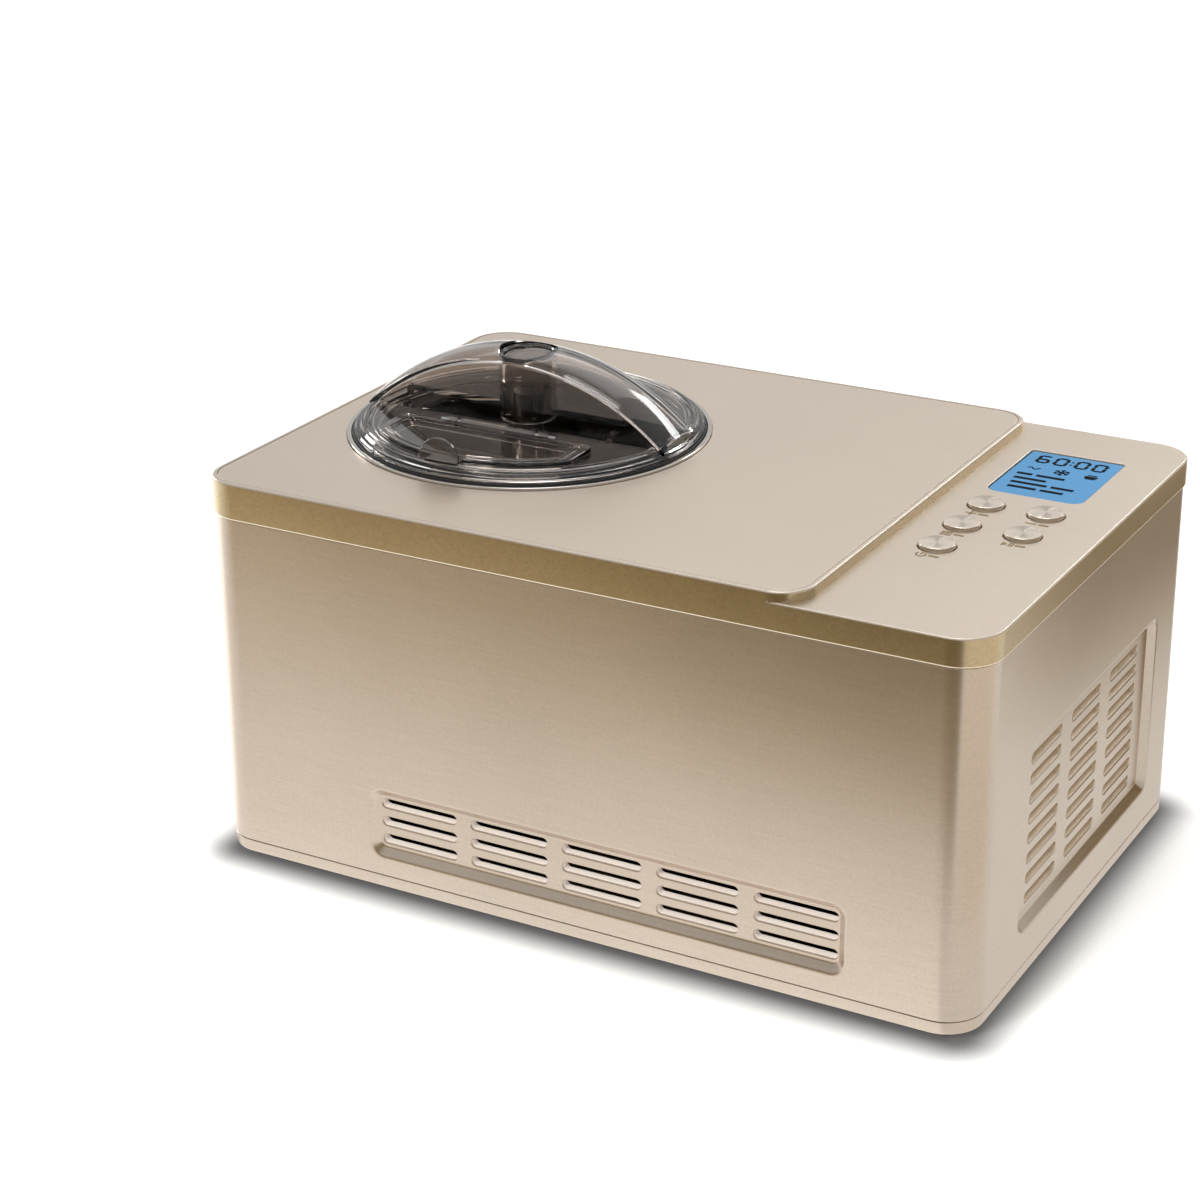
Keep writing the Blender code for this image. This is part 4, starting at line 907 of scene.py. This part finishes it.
class MAKER_OT_filler_cap(bpy.types.Operator):
    """Hinged filler cap in front of the grip, with its thumb tab"""
    bl_idname = "maker.filler_cap"
    bl_label = "Filler cap"

    def execute(self, context):
        lid = context.scene.maker_lid
        z0, z1 = LID_DECK + 0.35 * MM, LID_DECK + 2.7 * MM
        under = LID_DECK - lid.wall
        plate = slab(cap_corners(33.2 * MM, 81.5 * MM, 57 * MM), z0, z1, top=0.6 * MM, bottom=0.3 * MM,
                     steps=5)
        frame_rib = slab(cap_corners(36 * MM, 78.5 * MM, 53 * MM), z1 - 0.6 * MM, z1 + 0.5 * MM, top=0.4 * MM,
                         steps=5)
        pan = slab(cap_corners(38 * MM, 76.5 * MM, 51 * MM), z1 - 0.7 * MM, z1 + OVERRUN, steps=5)
        plug = slab(cap_corners(37 * MM, 76.3 * MM, 50 * MM), under, z0 + 1 * MM, bottom=0.5 * MM, steps=5)
        well = slab(cap_corners(39 * MM, 74.3 * MM, 48 * MM), under - OVERRUN, z0 + 0.1 * MM, steps=5)
        tongue_z = LID_DECK + 1.5 * MM
        tongue = rectangle(AXIS.x - 9 * MM, AXIS.x + 9 * MM, AXIS.y - 89.6 * MM, AXIS.y - 78 * MM, 1 * MM)
        tongue = slab(tongue, tongue_z, z1, top=0.4 * MM, bottom=0.3 * MM, steps=4)
        tab_r = 11.5 * MM
        tab = [(AXIS.x + tab_r, tongue_z, 0.5 * MM)]
        tab += [(AXIS.x + tab_r * cos(pi * i / 20), tongue_z + 2 * MM + tab_r * sin(pi * i / 20), 0)
                for i in range(21)]
        tab.append((AXIS.x - tab_r, tongue_z, 0.5 * MM))
        thumb = placed(slab(tab, -2 * MM, 0, top=0.5 * MM, bottom=0.5 * MM, steps=3),
                       facing_front(AXIS.y - 90 * MM))
        barrel = rod(2.2 * MM, AXIS.x - 22 * MM, AXIS.x + 22 * MM, HINGE_Y, HINGE_Z)
        bore = rod(PIN_BORE, AXIS.x - 40 * MM, AXIS.x + 40 * MM, HINGE_Y, HINGE_Z)
        notches = []
        for side in (-1, 1):
            x = AXIS.x + side * LUG_X
            notches.append(slab(rectangle(x - 3.6 * MM, x + 3.6 * MM, HINGE_Y - 4.5 * MM, HINGE_Y + 3 * MM,
                                          0.6 * MM), LID_DECK, HINGE_Z + 4 * MM, steps=3))
        bm = carved("filler_door", plate, join(frame_rib), cut(pan), join(barrel), join(plug),
                    join(tongue), join(thumb), cut(well), cut(bore), cut(merged(*notches)))
        piece("filler_door", bm, smoked_acrylic(lid.tint), "filler_cap", ["filler_cap"],
              sharp=28)
        return {'FINISHED'}


# ------------------------------------------------------------------ controls

def window_outline(by=0.0):
    """Plan of the display window, or inset from it."""
    low, high = WINDOW
    return inset(rectangle(low.x, high.x, low.y, high.y, 6 * MM, 6 * MM, 1.6 * MM, 1.6 * MM), by)


def printed(outline, z):
    """Flat mark in the shape of an outline, one coat of ink thick."""
    return stack([(outline, z), (outline, z + INK)])


def segment(centre, length_mm, width_mm, upright_bar, z):
    """One six-sided bar of a seven segment digit."""
    half_l, half_w = length_mm * MM / 2, width_mm * MM / 2
    along = [(-half_l, 0), (-half_l + half_w, -half_w), (half_l - half_w, -half_w), (half_l, 0),
             (half_l - half_w, half_w), (-half_l + half_w, half_w)]
    if upright_bar:
        along = [(-y, x) for x, y in along]
    return printed([(centre[0] + x, centre[1] + y) for x, y in along], z)


def digit(value, x, y, z):
    """Seven segment digit, 6 by 11 mm."""
    lit = {"0": "abcdef", "1": "bc", "2": "abged", "3": "abgcd", "4": "fgbc", "5": "afgcd", "6": "afgedc",
           "7": "abc", "8": "abcdefg", "9": "abfgcd"}[value]
    half_w, half_h = 2.8 * MM, 4.9 * MM
    bars = {"a": (0, 1, 0), "b": (1, 0.5, 1), "c": (1, -0.5, 1), "d": (0, -1, 0), "e": (-1, -0.5, 1),
            "f": (-1, 0.5, 1), "g": (0, 0, 0)}
    made = []
    for bar in lit:
        side, height, stands = bars[bar]
        made.append(segment((x + side * half_w, y + height * half_h), 4.8 if stands else 5.4, 1.7, stands, z))
    return made


def strip(x0, y0, x1, y1, width_mm, z):
    """Thin flat bar between two points."""
    start, end = Vector((x0, y0)), Vector((x1, y1))
    way = (end - start).normalized()
    side = Vector((-way.y, way.x)) * width_mm * MM / 2
    return printed([(c.x, c.y) for c in (start - side, end - side, end + side, start + side)], z)


class MAKER_OT_display(bpy.types.Operator):
    """Recessed blue display with its time, symbols and menu bars"""
    bl_idname = "maker.display"
    bl_label = "Display"

    def execute(self, context):
        controls = context.scene.maker_controls
        low, high = WINDOW
        glass = slab(window_outline(0.05 * MM), low.z, high.z, top=0.15 * MM, steps=8)
        piece("display_window", glass, display_blue(controls.blue), "housing",
              ["lcd_window"])
        z = high.z + HAIR
        mid = (low + high) / 2
        marks = []
        row_y = high.y - 10 * MM
        pitch = 9.4 * MM
        minutes, seconds = controls.digits.split(":")
        for index, value in enumerate(minutes + seconds):
            offset = (index - 1.5) * pitch + (0.9 * MM if index > 1 else -0.9 * MM)
            marks += digit(value, mid.x + offset, row_y, z)
        for dy in (-2, 2):
            marks.append(slab(circle(mid.x, row_y + dy * MM, 0.7 * MM, 12), z, z + INK))
        marks += self.symbols(mid, row_y - 15 * MM, z)
        # Four menu lines drawn as plain word-length bars
        for index, words in enumerate(((8, 15), (17,), (19, 12), (15, 12))):
            x, y = low.x + (4.5 + 0.8 * index) * MM, row_y - (24.5 + 6.6 * index) * MM
            for word in words:
                marks.append(strip(x, y, x + word * MM, y, 2.7, z))
                x += (word + 2.2) * MM
        ink = moulded("display_ink", shade("#0A0E13"), 0.8, 1.0, Specular_IOR_Level=0.1)
        piece("display_marks", merged(*marks), ink, "housing")
        return {'FINISHED'}

    def symbols(self, mid, y, z):
        """A stir wave, a snowflake and a small bowl."""
        made = []
        flake = (mid.x, y)
        for i in range(6):
            turn = pi / 3 * i + pi / 6
            tip = (flake[0] + 4.2 * MM * cos(turn), flake[1] + 4.2 * MM * sin(turn))
            made.append(strip(*flake, *tip, 0.95, z))
            for lean in (-0.8, 0.8):
                root = (flake[0] + 2.4 * MM * cos(turn), flake[1] + 2.4 * MM * sin(turn))
                end = (root[0] + 1.6 * MM * cos(turn + lean), root[1] + 1.6 * MM * sin(turn + lean))
                made.append(strip(*root, *end, 0.75, z))
        wave = [(mid.x - 18 * MM + i * 0.9 * MM, y + 1.3 * MM * sin(i * 1.1)) for i in range(8)]
        for start, end in zip(wave, wave[1:]):
            made.append(strip(*start, *end, 0.9, z))
        x = mid.x + 15.5 * MM
        bowl = [(x - 3.6 * MM, y + 1.4 * MM, 0.5 * MM), (x - 2.6 * MM, y - 3 * MM, 1.4 * MM),
                (x + 2.6 * MM, y - 3 * MM, 1.4 * MM), (x + 3.6 * MM, y + 1.4 * MM, 0.5 * MM)]
        made.append(slab(bowl, z, z + INK, steps=4))
        made.append(strip(x - 2.4 * MM, y + 2.9 * MM, x + 2.4 * MM, y + 2.9 * MM, 0.9, z))
        return made


class MAKER_OT_buttons(bpy.types.Operator):
    """Five spun push buttons with a generic symbol printed below each"""
    bl_idname = "maker.buttons"
    bl_label = "Buttons"

    def execute(self, context):
        controls = context.scene.maker_controls
        deck = CONTROL_DECK
        marks = []
        for name in BUTTONS:
            low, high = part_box(name)
            middle = middle_of(name)
            face, top = 9 * MM, high.z
            cap = [(0, low.z, 0), (3 * MM, low.z, 0.3 * MM), (3 * MM, deck - 5.5 * MM, 0),
                   (11 * MM, deck - 5.5 * MM, 0.3 * MM), (11 * MM, deck - 3.5 * MM, 0.3 * MM),
                   (face, deck - 3.5 * MM, 0), (face, top - 0.1 * MM, 0.45 * MM),
                   (6 * MM, top - 0.02 * MM, 1 * MM), (0, top, 0)]
            metal = spun_button(controls.metal, (middle.x, middle.y, high.z))
            piece(name + "_cap", turned(cap, 72, middle), metal, name, [name], sharp=15)
            marks += self.symbol(name, middle.x, middle.y - 13.6 * MM, deck + HAIR)
        ink = moulded("printed_legend", shade("#7E6C4E"), 0.7, 1.0, Specular_IOR_Level=0.2)
        piece("button_marks", merged(*marks), ink, "housing")
        return {'FINISHED'}

    def symbol(self, name, x, y, z):
        """Generic printed sign about 8 mm wide, with a short bar beside it where a word would stand."""
        u = 1.25 * MM
        size = 2.2 * u
        x -= 2.6 * MM
        made = [strip(x + size + 1.2 * MM, y, x + size + 6.2 * MM, y, 1.6, z)]
        if name in ("button_minus", "button_plus", "button_menu"):
            made.append(strip(x - size, y, x + size, y, 1.0, z))
        if name == "button_plus":
            made.append(strip(x, y - size, x, y + size, 1.0, z + 0.03 * MM))
        if name == "button_menu":
            made += [strip(x - size, y + dy * u, x + size, y + dy * u, 1.0, z) for dy in (-1.6, 1.6)]
        if name == "button_power":
            ring = [(x + 1.9 * u * sin(a), y + 1.9 * u * cos(a)) for a in
                    [radians(45 + 270 * i / 14) for i in range(15)]]
            made += [strip(*start, *end, 0.75, z) for start, end in zip(ring, ring[1:])]
            made.append(strip(x, y + 0.2 * u, x, y + 2.2 * u, 0.75, z + 0.03 * MM))
        if name == "button_start":
            arrow = [(x - size, y - 1.8 * u), (x + 0.2 * u, y), (x - size, y + 1.8 * u)]
            made.append(printed(arrow, z))
            made += [strip(x + dx * u, y - 1.8 * u, x + dx * u, y + 1.8 * u, 0.8, z) for dx in (1.0, 2.1)]
        return made


# ------------------------------------------------------------------ bowl and works

class MAKER_OT_bowl(bpy.types.Operator):
    """Removable bowl with its bail, the paddle and the cooling pot"""
    bl_idname = "maker.bowl"
    bl_label = "Bowl and paddle"

    def execute(self, context):
        finishes = works_finishes()
        low = BOWL[0]
        rim = low.z + 136 * MM
        inner, gauge = 73 * MM, 1.5 * MM
        cone = rim - 75 * MM
        profile = [(84.4 * MM, rim - gauge, 0.4 * MM), (84.4 * MM, rim, 0.4 * MM), (inner, rim, 2.5 * MM),
                   (inner, low.z + gauge, 9 * MM), (16 * MM, low.z + gauge, 4 * MM),
                   (11 * MM, cone, 1.5 * MM), (7 * MM, cone, 0.3 * MM), (7 * MM, cone - gauge, 0.3 * MM),
                   (9.6 * MM, cone - gauge, 0.8 * MM), (14.5 * MM, low.z, 4 * MM),
                   (inner + gauge, low.z, 10 * MM), (inner + gauge, rim - gauge, 0.8 * MM)]
        bowl = turned(profile, 96, arc_steps=6)
        bail_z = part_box("bowl_handle")[0].z + 1.3 * MM
        ears = []
        for side in (-1, 1):
            x = AXIS.x + side * 75.7 * MM
            ear = rectangle(-3 * MM, 3 * MM, rim - 1 * MM, bail_z + 3 * MM,
                            0.2 * MM, 0.2 * MM, 2.8 * MM, 2.8 * MM)
            ears.append(placed(slab(ear, -1.1 * MM, 1.1 * MM, top=0.3 * MM, bottom=0.3 * MM, steps=6),
                               facing_side(x, AXIS.y)))
        pivots = rod(1.8 * MM, AXIS.x - 80 * MM, AXIS.x + 80 * MM, AXIS.y, bail_z)
        bm = carved("bowl", bowl, join(merged(*ears)), cut(pivots))
        piece("bowl", bm, finishes["anodised"], "bowl", ["mixing_bowl"])
        self.bail(bail_z, finishes["stainless"])
        self.paddle(finishes["paddle_nylon_painted_shade"])
        self.works(finishes)
        return {'FINISHED'}

    def bail(self, z, steel):
        """Bent wire handle, folded down round the rim."""
        radius, wire, end = 79 * MM, 1.3 * MM, 72.5 * MM
        route = [(-end, 0), (-radius + 1.5 * MM, 0)]
        route += [(-radius * cos(pi * i / 40), -radius * sin(pi * i / 40)) for i in range(1, 40)]
        route += [(radius - 1.5 * MM, 0), (end, 0)]
        rings = []
        for i, (x, y) in enumerate(route):
            before, after = Vector(route[max(i - 1, 0)]), Vector(route[min(i + 1, len(route) - 1)])
            way = (after - before).normalized()
            side = Vector((-way.y, way.x, 0))
            centre = Vector((AXIS.x + x, AXIS.y + y, z))
            rings.append([centre + wire * (side * cos(a) + Vector((0, 0, 1)) * sin(a))
                          for a in [2 * pi * k / 16 for k in range(16)]])
        piece("bail", loft(rings), steel, "bail", ["bowl_handle"])

    def paddle(self, plastic):
        """Open-winged dasher on a hub that drops over the drive shaft."""
        low, high = PADDLE
        reach, half_t = (high.x - low.x) / 2, 2 * MM
        top = low.z + 115 * MM
        socket_z = BOWL[0].z + 64 * MM
        hub = [(0, high.z, 0), (8 * MM, high.z, 1.5 * MM), (8 * MM, top + 12 * MM, 3 * MM),
               (15.5 * MM, top, 4 * MM), (15.5 * MM, 110 * MM, 1 * MM), (0, 110 * MM, 0)]
        stand = facing_front(AXIS.y)
        blade = rectangle(AXIS.x - reach, AXIS.x + reach, low.z, top, 9 * MM, 9 * MM, 14 * MM, 14 * MM)
        wings = placed(slab(blade, -half_t, half_t, top=1.2 * MM, bottom=1.2 * MM, steps=8), stand)
        windows = []
        for side in (-1, 1):
            for z0, z1 in ((92, 130), (140, 176)):
                a, b = sorted((AXIS.x + side * 26 * MM, AXIS.x + side * 60 * MM))
                gap = rectangle(a, b, z0 * MM, z1 * MM, 6 * MM)
                windows.append(placed(slab(gap, -10 * MM, 10 * MM, steps=6), stand))
        clearance = turned([(0, 60 * MM, 0), (20 * MM, 60 * MM, 0), (13 * MM, socket_z, 0),
                            (0, socket_z, 0)], 48)
        half = 4.3 * MM
        socket = slab(centred(AXIS.x, AXIS.y, half, half, 0.3 * MM), socket_z - OVERRUN,
                      socket_z + 20 * MM, steps=3)
        bm = carved("paddle", turned(hub, 64), join(wings), cut(merged(*windows)), cut(clearance),
                    cut(socket))
        piece("paddle", bm, plastic, "paddle", ["mixing_paddle"])

    def works(self, finishes):
        """Give the pieces inside the casing their finishes."""
        wearing = {
            "aluminium": ("cooling_pot", "condenser", "gearbox_housing"),
            "copper": ("evaporator_coil", "suction_pipe", "discharge_pipe", "capillary_tube", "filter_drier"),
            "brass": ("shaft_bush", "motor_pinion"),
            "zinc_steel": ("drive_shaft", "drive_motor", "gearbox_cover", "compressor_base"),
            "enamel": ("compressor",),
            "black_abs": ("fan_shroud", "fan_motor", "fan_blades", "lcd_module"),
            "acetal": ("drive_gear",),
            "foam": ("insulation_jacket",),
            "board": ("control_board", "power_board"),
            "rubber": tuple(f"compressor_mount_{i}" for i in range(1, 5)),
        }
        for finish, names in wearing.items():
            for name in names:
                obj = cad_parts[name]
                obj.data.materials.clear()
                obj.data.materials.append(finishes[finish])


class MAKER_OT_small_parts(bpy.types.Operator):
    """Feet, screws and the mains inlet"""
    bl_idname = "maker.small_parts"
    bl_label = "Feet, screws and inlet"

    def execute(self, context):
        rubber = moulded("foot_rubber", shade("#202020"), 0.75, 0.6)
        steel = brushed("nickel_plated_steel", shade("#B4B5B6"), 0.25, (1, 1, 1), 0.05, 0.2)
        for i in range(1, 5):
            name = f"foot_{i}"
            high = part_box(name)[1]
            foot = [(0, 0.6 * MM, 0), (5 * MM, 0.6 * MM, 0.2 * MM), (5.6 * MM, 0, 0.3 * MM),
                    (9 * MM, 0, 0.8 * MM), (11 * MM, high.z, 0.4 * MM), (0, high.z, 0)]
            pad = turned(foot, 40, middle_of(name))
            piece(f"foot_pad_{i}", pad, rubber, "housing", [name])
            self.screw(f"base_screw_{i}", f"tray_screw_{i}", steel, Vector((0, 0, -1)))
            self.screw(f"rear_screw_{i}", f"wrap_screw_{i}", steel, Vector((0, 1, 0)))
        self.inlet()
        return {'FINISHED'}

    def screw(self, node_name, name, steel, outwards):
        """Pan head with a cross recess, its face turned outwards."""
        low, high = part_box(node_name)
        middle = (low + high) / 2
        tall = (high - low).dot(Vector([abs(v) for v in outwards]))
        head = [(0, 0, 0), (3.6 * MM, 0, 0.1 * MM), (3.5 * MM, tall, 0.3 * MM), (0, tall, 0)]
        arms = [slab(centred(0, 0, a * MM, b * MM, 0.1 * MM), tall * 0.4, tall + 1 * MM, steps=2)
                for a, b in ((1.8, 0.4), (0.39, 1.79))]
        bm = carved(name, turned(head, 32, (0, 0)), cut(arms[0]), cut(arms[1]))
        turn = outwards.to_track_quat('Z', 'Y').to_matrix().to_4x4()
        turn.translation = middle - outwards * tall / 2
        piece(name, placed(bm, turn), steel, "housing", [node_name])

    def inlet(self):
        """Recessed three pin mains inlet in the back wall."""
        low, high = INLET
        mid_x, mid_z = -(low.x + high.x) / 2, (low.z + high.z) / 2
        face = high.y - SHELL[1].y
        frame_out = rectangle(-high.x, -low.x, low.z, high.z, 2.6 * MM)
        body = slab(frame_out, -(SHELL[1].y - low.y), face, top=0.4 * MM, steps=6)
        well = slab(centred(mid_x, mid_z, 12 * MM, 8 * MM, 1 * MM, 1 * MM, 5 * MM, 5 * MM), -16 * MM,
                    OVERRUN, steps=6)
        pins = []
        for dx, dz in ((-7, -1.5), (0, 2), (7, -1.5)):
            x, z = mid_x + dx * MM, mid_z + dz * MM
            pins.append(slab(centred(x, z, 1 * MM, 2 * MM, 0.3 * MM), -15.9 * MM, -5 * MM, top=0.5 * MM,
                             steps=3))
        black = moulded("black_thermoset", shade("#1A1A1B"), 0.4, 0.8)
        socket = placed(carved("inlet", body, cut(well)), BACK)
        piece("inlet", socket, black, "housing", ["power_inlet"])
        brass = brushed("nickel_plated_brass", shade("#C7BFA8"), 0.25, (1, 1, 1), 0.05, 0.2)
        piece("inlet_pins", placed(merged(*pins), BACK), brass, "housing")


# ------------------------------------------------------------------ stage

def standing(start, end, height, foot=0.002):
    """Corners of an upright card between two points on the floor."""
    return [(*start, foot), (*end, foot), (*end, height), (*start, height)]


class MAKER_OT_stage(bpy.types.Operator):
    """Pale floor, soft lights and the camera"""
    bl_idname = "maker.stage"
    bl_label = "Stage"

    def execute(self, context):
        stage = context.scene.maker_stage
        bm = bmesh.new()
        bmesh.ops.create_grid(bm, x_segments=1, y_segments=1, size=12)
        floor = as_object("floor", bm)
        floor.data.materials.append(self.paper(stage))
        self.lights(stage)
        self.camera(context, stage)
        return {'FINISHED'}

    def paper(self, stage):
        """Pale paper with a painted contact shadow: its colour and glow grey off close round the casing's
        footprint.
        """
        full_glow, shadow_darkest = 0.28, 0.12
        under = COVER[1] - Vector((12, 12, 0)) * MM
        mat, tree, shader = new_material("pale_paper", stage.floor, 0.85, Emission_Color=(1, 1, 1, 1))
        across = vector_maths(tree, 'ABSOLUTE', object_place(tree))
        past = vector_maths(tree, 'SUBTRACT', across, (under.x, under.y, 1))
        gap = vector_maths(tree, 'LENGTH', vector_maths(tree, 'MAXIMUM', past, (0, 0, 0)), output="Value")
        # Painted contact shadow: the paper's colour and glow fall to near black within a few centimetres of
        # the footprint.
        fade = remap(tree, gap, 6 * MM, 34 * MM, shadow_darkest, 1.0, interpolation_type='SMOOTHSTEP')
        glow = node(tree, "ShaderNodeMath", {0: fade, 1: full_glow}, operation='MULTIPLY')
        tree.links.new(glow.outputs[0], shader.inputs["Emission Strength"])
        tree.links.new(blend(tree, fade, (0.02, 0.02, 0.025), stage.floor), shader.inputs["Base Color"])
        return mat

    def lights(self, stage):
        """Even white surround, five area lights and the cards seen in the metal."""
        world = bpy.data.worlds.new("studio")
        bpy.context.scene.world = world
        world.use_nodes = True
        background = world.node_tree.nodes["Background"].inputs
        background["Color"].default_value = (*shade("#FFFFFF"), 1)
        background["Strength"].default_value = stage.ambient
        key, back = stage.key_power, stage.back_power
        # name, place, aim, width, height, power
        for name, place, aim, width, height, power in (
                ("overhead", (0, -0.1, 1.6), (0, 0, 0), 0.6, 0.6, key),
                ("backdrop", (-0.8, 1.8, 1.8), (-0.8, 1.8, 0), 2.0, 2.0, key * 2),
                ("front", (-0.5, -2.4, 1.35), (0, -0.1, 0.1), 0.9, 0.9, stage.front_power),
                ("left strip", (-1.8, 0.35, 0.6), (0, 0, 0.2), 0.5, 0.5, back * 0.7),
                ("back strip", (0.35, 1.65, 1.25), (0, 0, 0.2), 0.8, 0.3, back * 0.6)):
            data = bpy.data.lights.new(name, 'AREA')
            data.shape = 'RECTANGLE'
            data.size, data.size_y = width, height
            data.energy = power
            lamp = bpy.data.objects.new(name, data)
            lamp.location = place
            lamp.rotation_euler = (Vector(aim) - Vector(place)).to_track_quat('-Z', 'Y').to_euler()
            lamp.visible_glossy = name != "front"
            bpy.context.collection.objects.link(lamp)
        # Cards that only the metal's reflections see: brown ones darken the top of each wall, and
        # a pale one lights the corner between them. The last two give the walls an even ground.
        pale, brown, corner = (0.62, 0.53, 0.38), stage.card, (0.84, 0.77, 0.68)
        self.card("front card", standing((-0.75, -0.48), (0.29, -0.3), 0.21), 0.145, pale, brown, (1.9, 0.68))
        self.card("right card", standing((0.325, 0.15), (0.262, 0.7), 0.135), 0.07, pale, brown)
        self.card("corner card", standing((0.30, -0.27), (0.325, -0.06), 0.3), 0.1, corner, corner)
        ramp = [(-0.9, -0.45, 0.03), (0.2, -0.45, 0.03), (0.2, -0.14, 0.001), (-0.9, -0.14, 0.001)]
        self.card("front ramp", ramp, 0.03, (1.2, 1.19, 1.17), (0.68, 0.64, 0.56))
        ground = [(0.2, -0.9, 0.001), (0.9, -0.9, 0.001), (0.9, 0.9, 0.001), (0.2, 0.9, 0.001)]
        self.card("right ground", ground, 1, (0.88, 0.86, 0.83), brown)

    def card(self, name, corners, fade_height, foot, tint, ends=(1, 1)):
        """Card seen in the metal only: one tone at its foot, blending to another above the fade.

        ends is how bright it is at its left and right ends.
        """
        bm = bmesh.new()
        bm.faces.new([bm.verts.new(corner) for corner in corners])
        card = as_object(name, bm)
        mat, tree, shader = new_material(name, (0, 0, 0), 1.0, Emission_Strength=1.0, Specular_IOR_Level=0.0)
        parts = node(tree, "ShaderNodeSeparateXYZ", {0: object_place(tree)}).outputs
        fade = remap(tree, parts["Z"], 0.0, fade_height, 0.0, 1.0)
        level = remap(tree, parts["X"], corners[0][0], corners[1][0], *ends)
        tree.links.new(level, shader.inputs["Emission Strength"])
        tree.links.new(blend(tree, fade, foot, tint), shader.inputs["Emission Color"])
        card.data.materials.append(mat)
        card.visible_camera = card.visible_diffuse = card.visible_shadow = card.visible_transmission = False

    def camera(self, context, stage):
        """Three-quarter view from the front right, looking down on the top."""
        right = Vector((0.87421, 0.48552, -0.00660))
        up = Vector((-0.18036, 0.33730, 0.92397))
        back = Vector((0.45083, -0.80654, 0.38243))
        data = bpy.data.cameras.new("view")
        data.lens = stage.lens
        data.sensor_width = 36
        data.clip_end = 50
        view = bpy.data.objects.new("view", data)
        view.matrix_world = Matrix((right, up, back)).transposed().to_4x4()
        view.location = (0.61407, -1.20872, 0.69333)
        bpy.context.collection.objects.link(view)
        context.scene.camera = view
        context.scene.view_settings.view_transform = 'Standard'


# ------------------------------------------------------------------ add-on

OPERATORS = (MAKER_OT_shell, MAKER_OT_tray, MAKER_OT_cover, MAKER_OT_plate, MAKER_OT_seat, MAKER_OT_lid,
             MAKER_OT_filler_cap, MAKER_OT_display, MAKER_OT_buttons, MAKER_OT_bowl, MAKER_OT_small_parts,
             MAKER_OT_stage)
GROUPS = {"maker_casing": MakerCasing, "maker_lid": MakerLid, "maker_controls": MakerControls,
          "maker_stage": MakerStage}


class MAKER_PT_panel(bpy.types.Panel):
    """Sizes, colours and the operator for each group of pieces"""
    bl_label = "Ice Cream Maker"
    bl_idname = "MAKER_PT_panel"
    bl_space_type = 'VIEW_3D'
    bl_region_type = 'UI'
    bl_category = "Ice Cream Maker"

    def draw(self, context):
        for name, group in GROUPS.items():
            box = self.layout.box()
            for field in group.__annotations__:
                box.prop(getattr(context.scene, name), field)
        for operator in OPERATORS:
            self.layout.operator(operator.bl_idname)


def register():
    for group in GROUPS.values():
        bpy.utils.register_class(group)
    for operator in OPERATORS:
        bpy.utils.register_class(operator)
    bpy.utils.register_class(MAKER_PT_panel)
    for name, group in GROUPS.items():
        setattr(bpy.types.Scene, name, PointerProperty(type=group))


def unregister():
    for name in GROUPS:
        delattr(bpy.types.Scene, name)
    bpy.utils.unregister_class(MAKER_PT_panel)
    for made in reversed(list(GROUPS.values()) + list(OPERATORS)):
        bpy.utils.unregister_class(made)


def main():
    register()
    for operator in OPERATORS:
        group, name = operator.bl_idname.split(".")
        getattr(getattr(bpy.ops, group), name)()


if __name__ == "__main__":
    main()
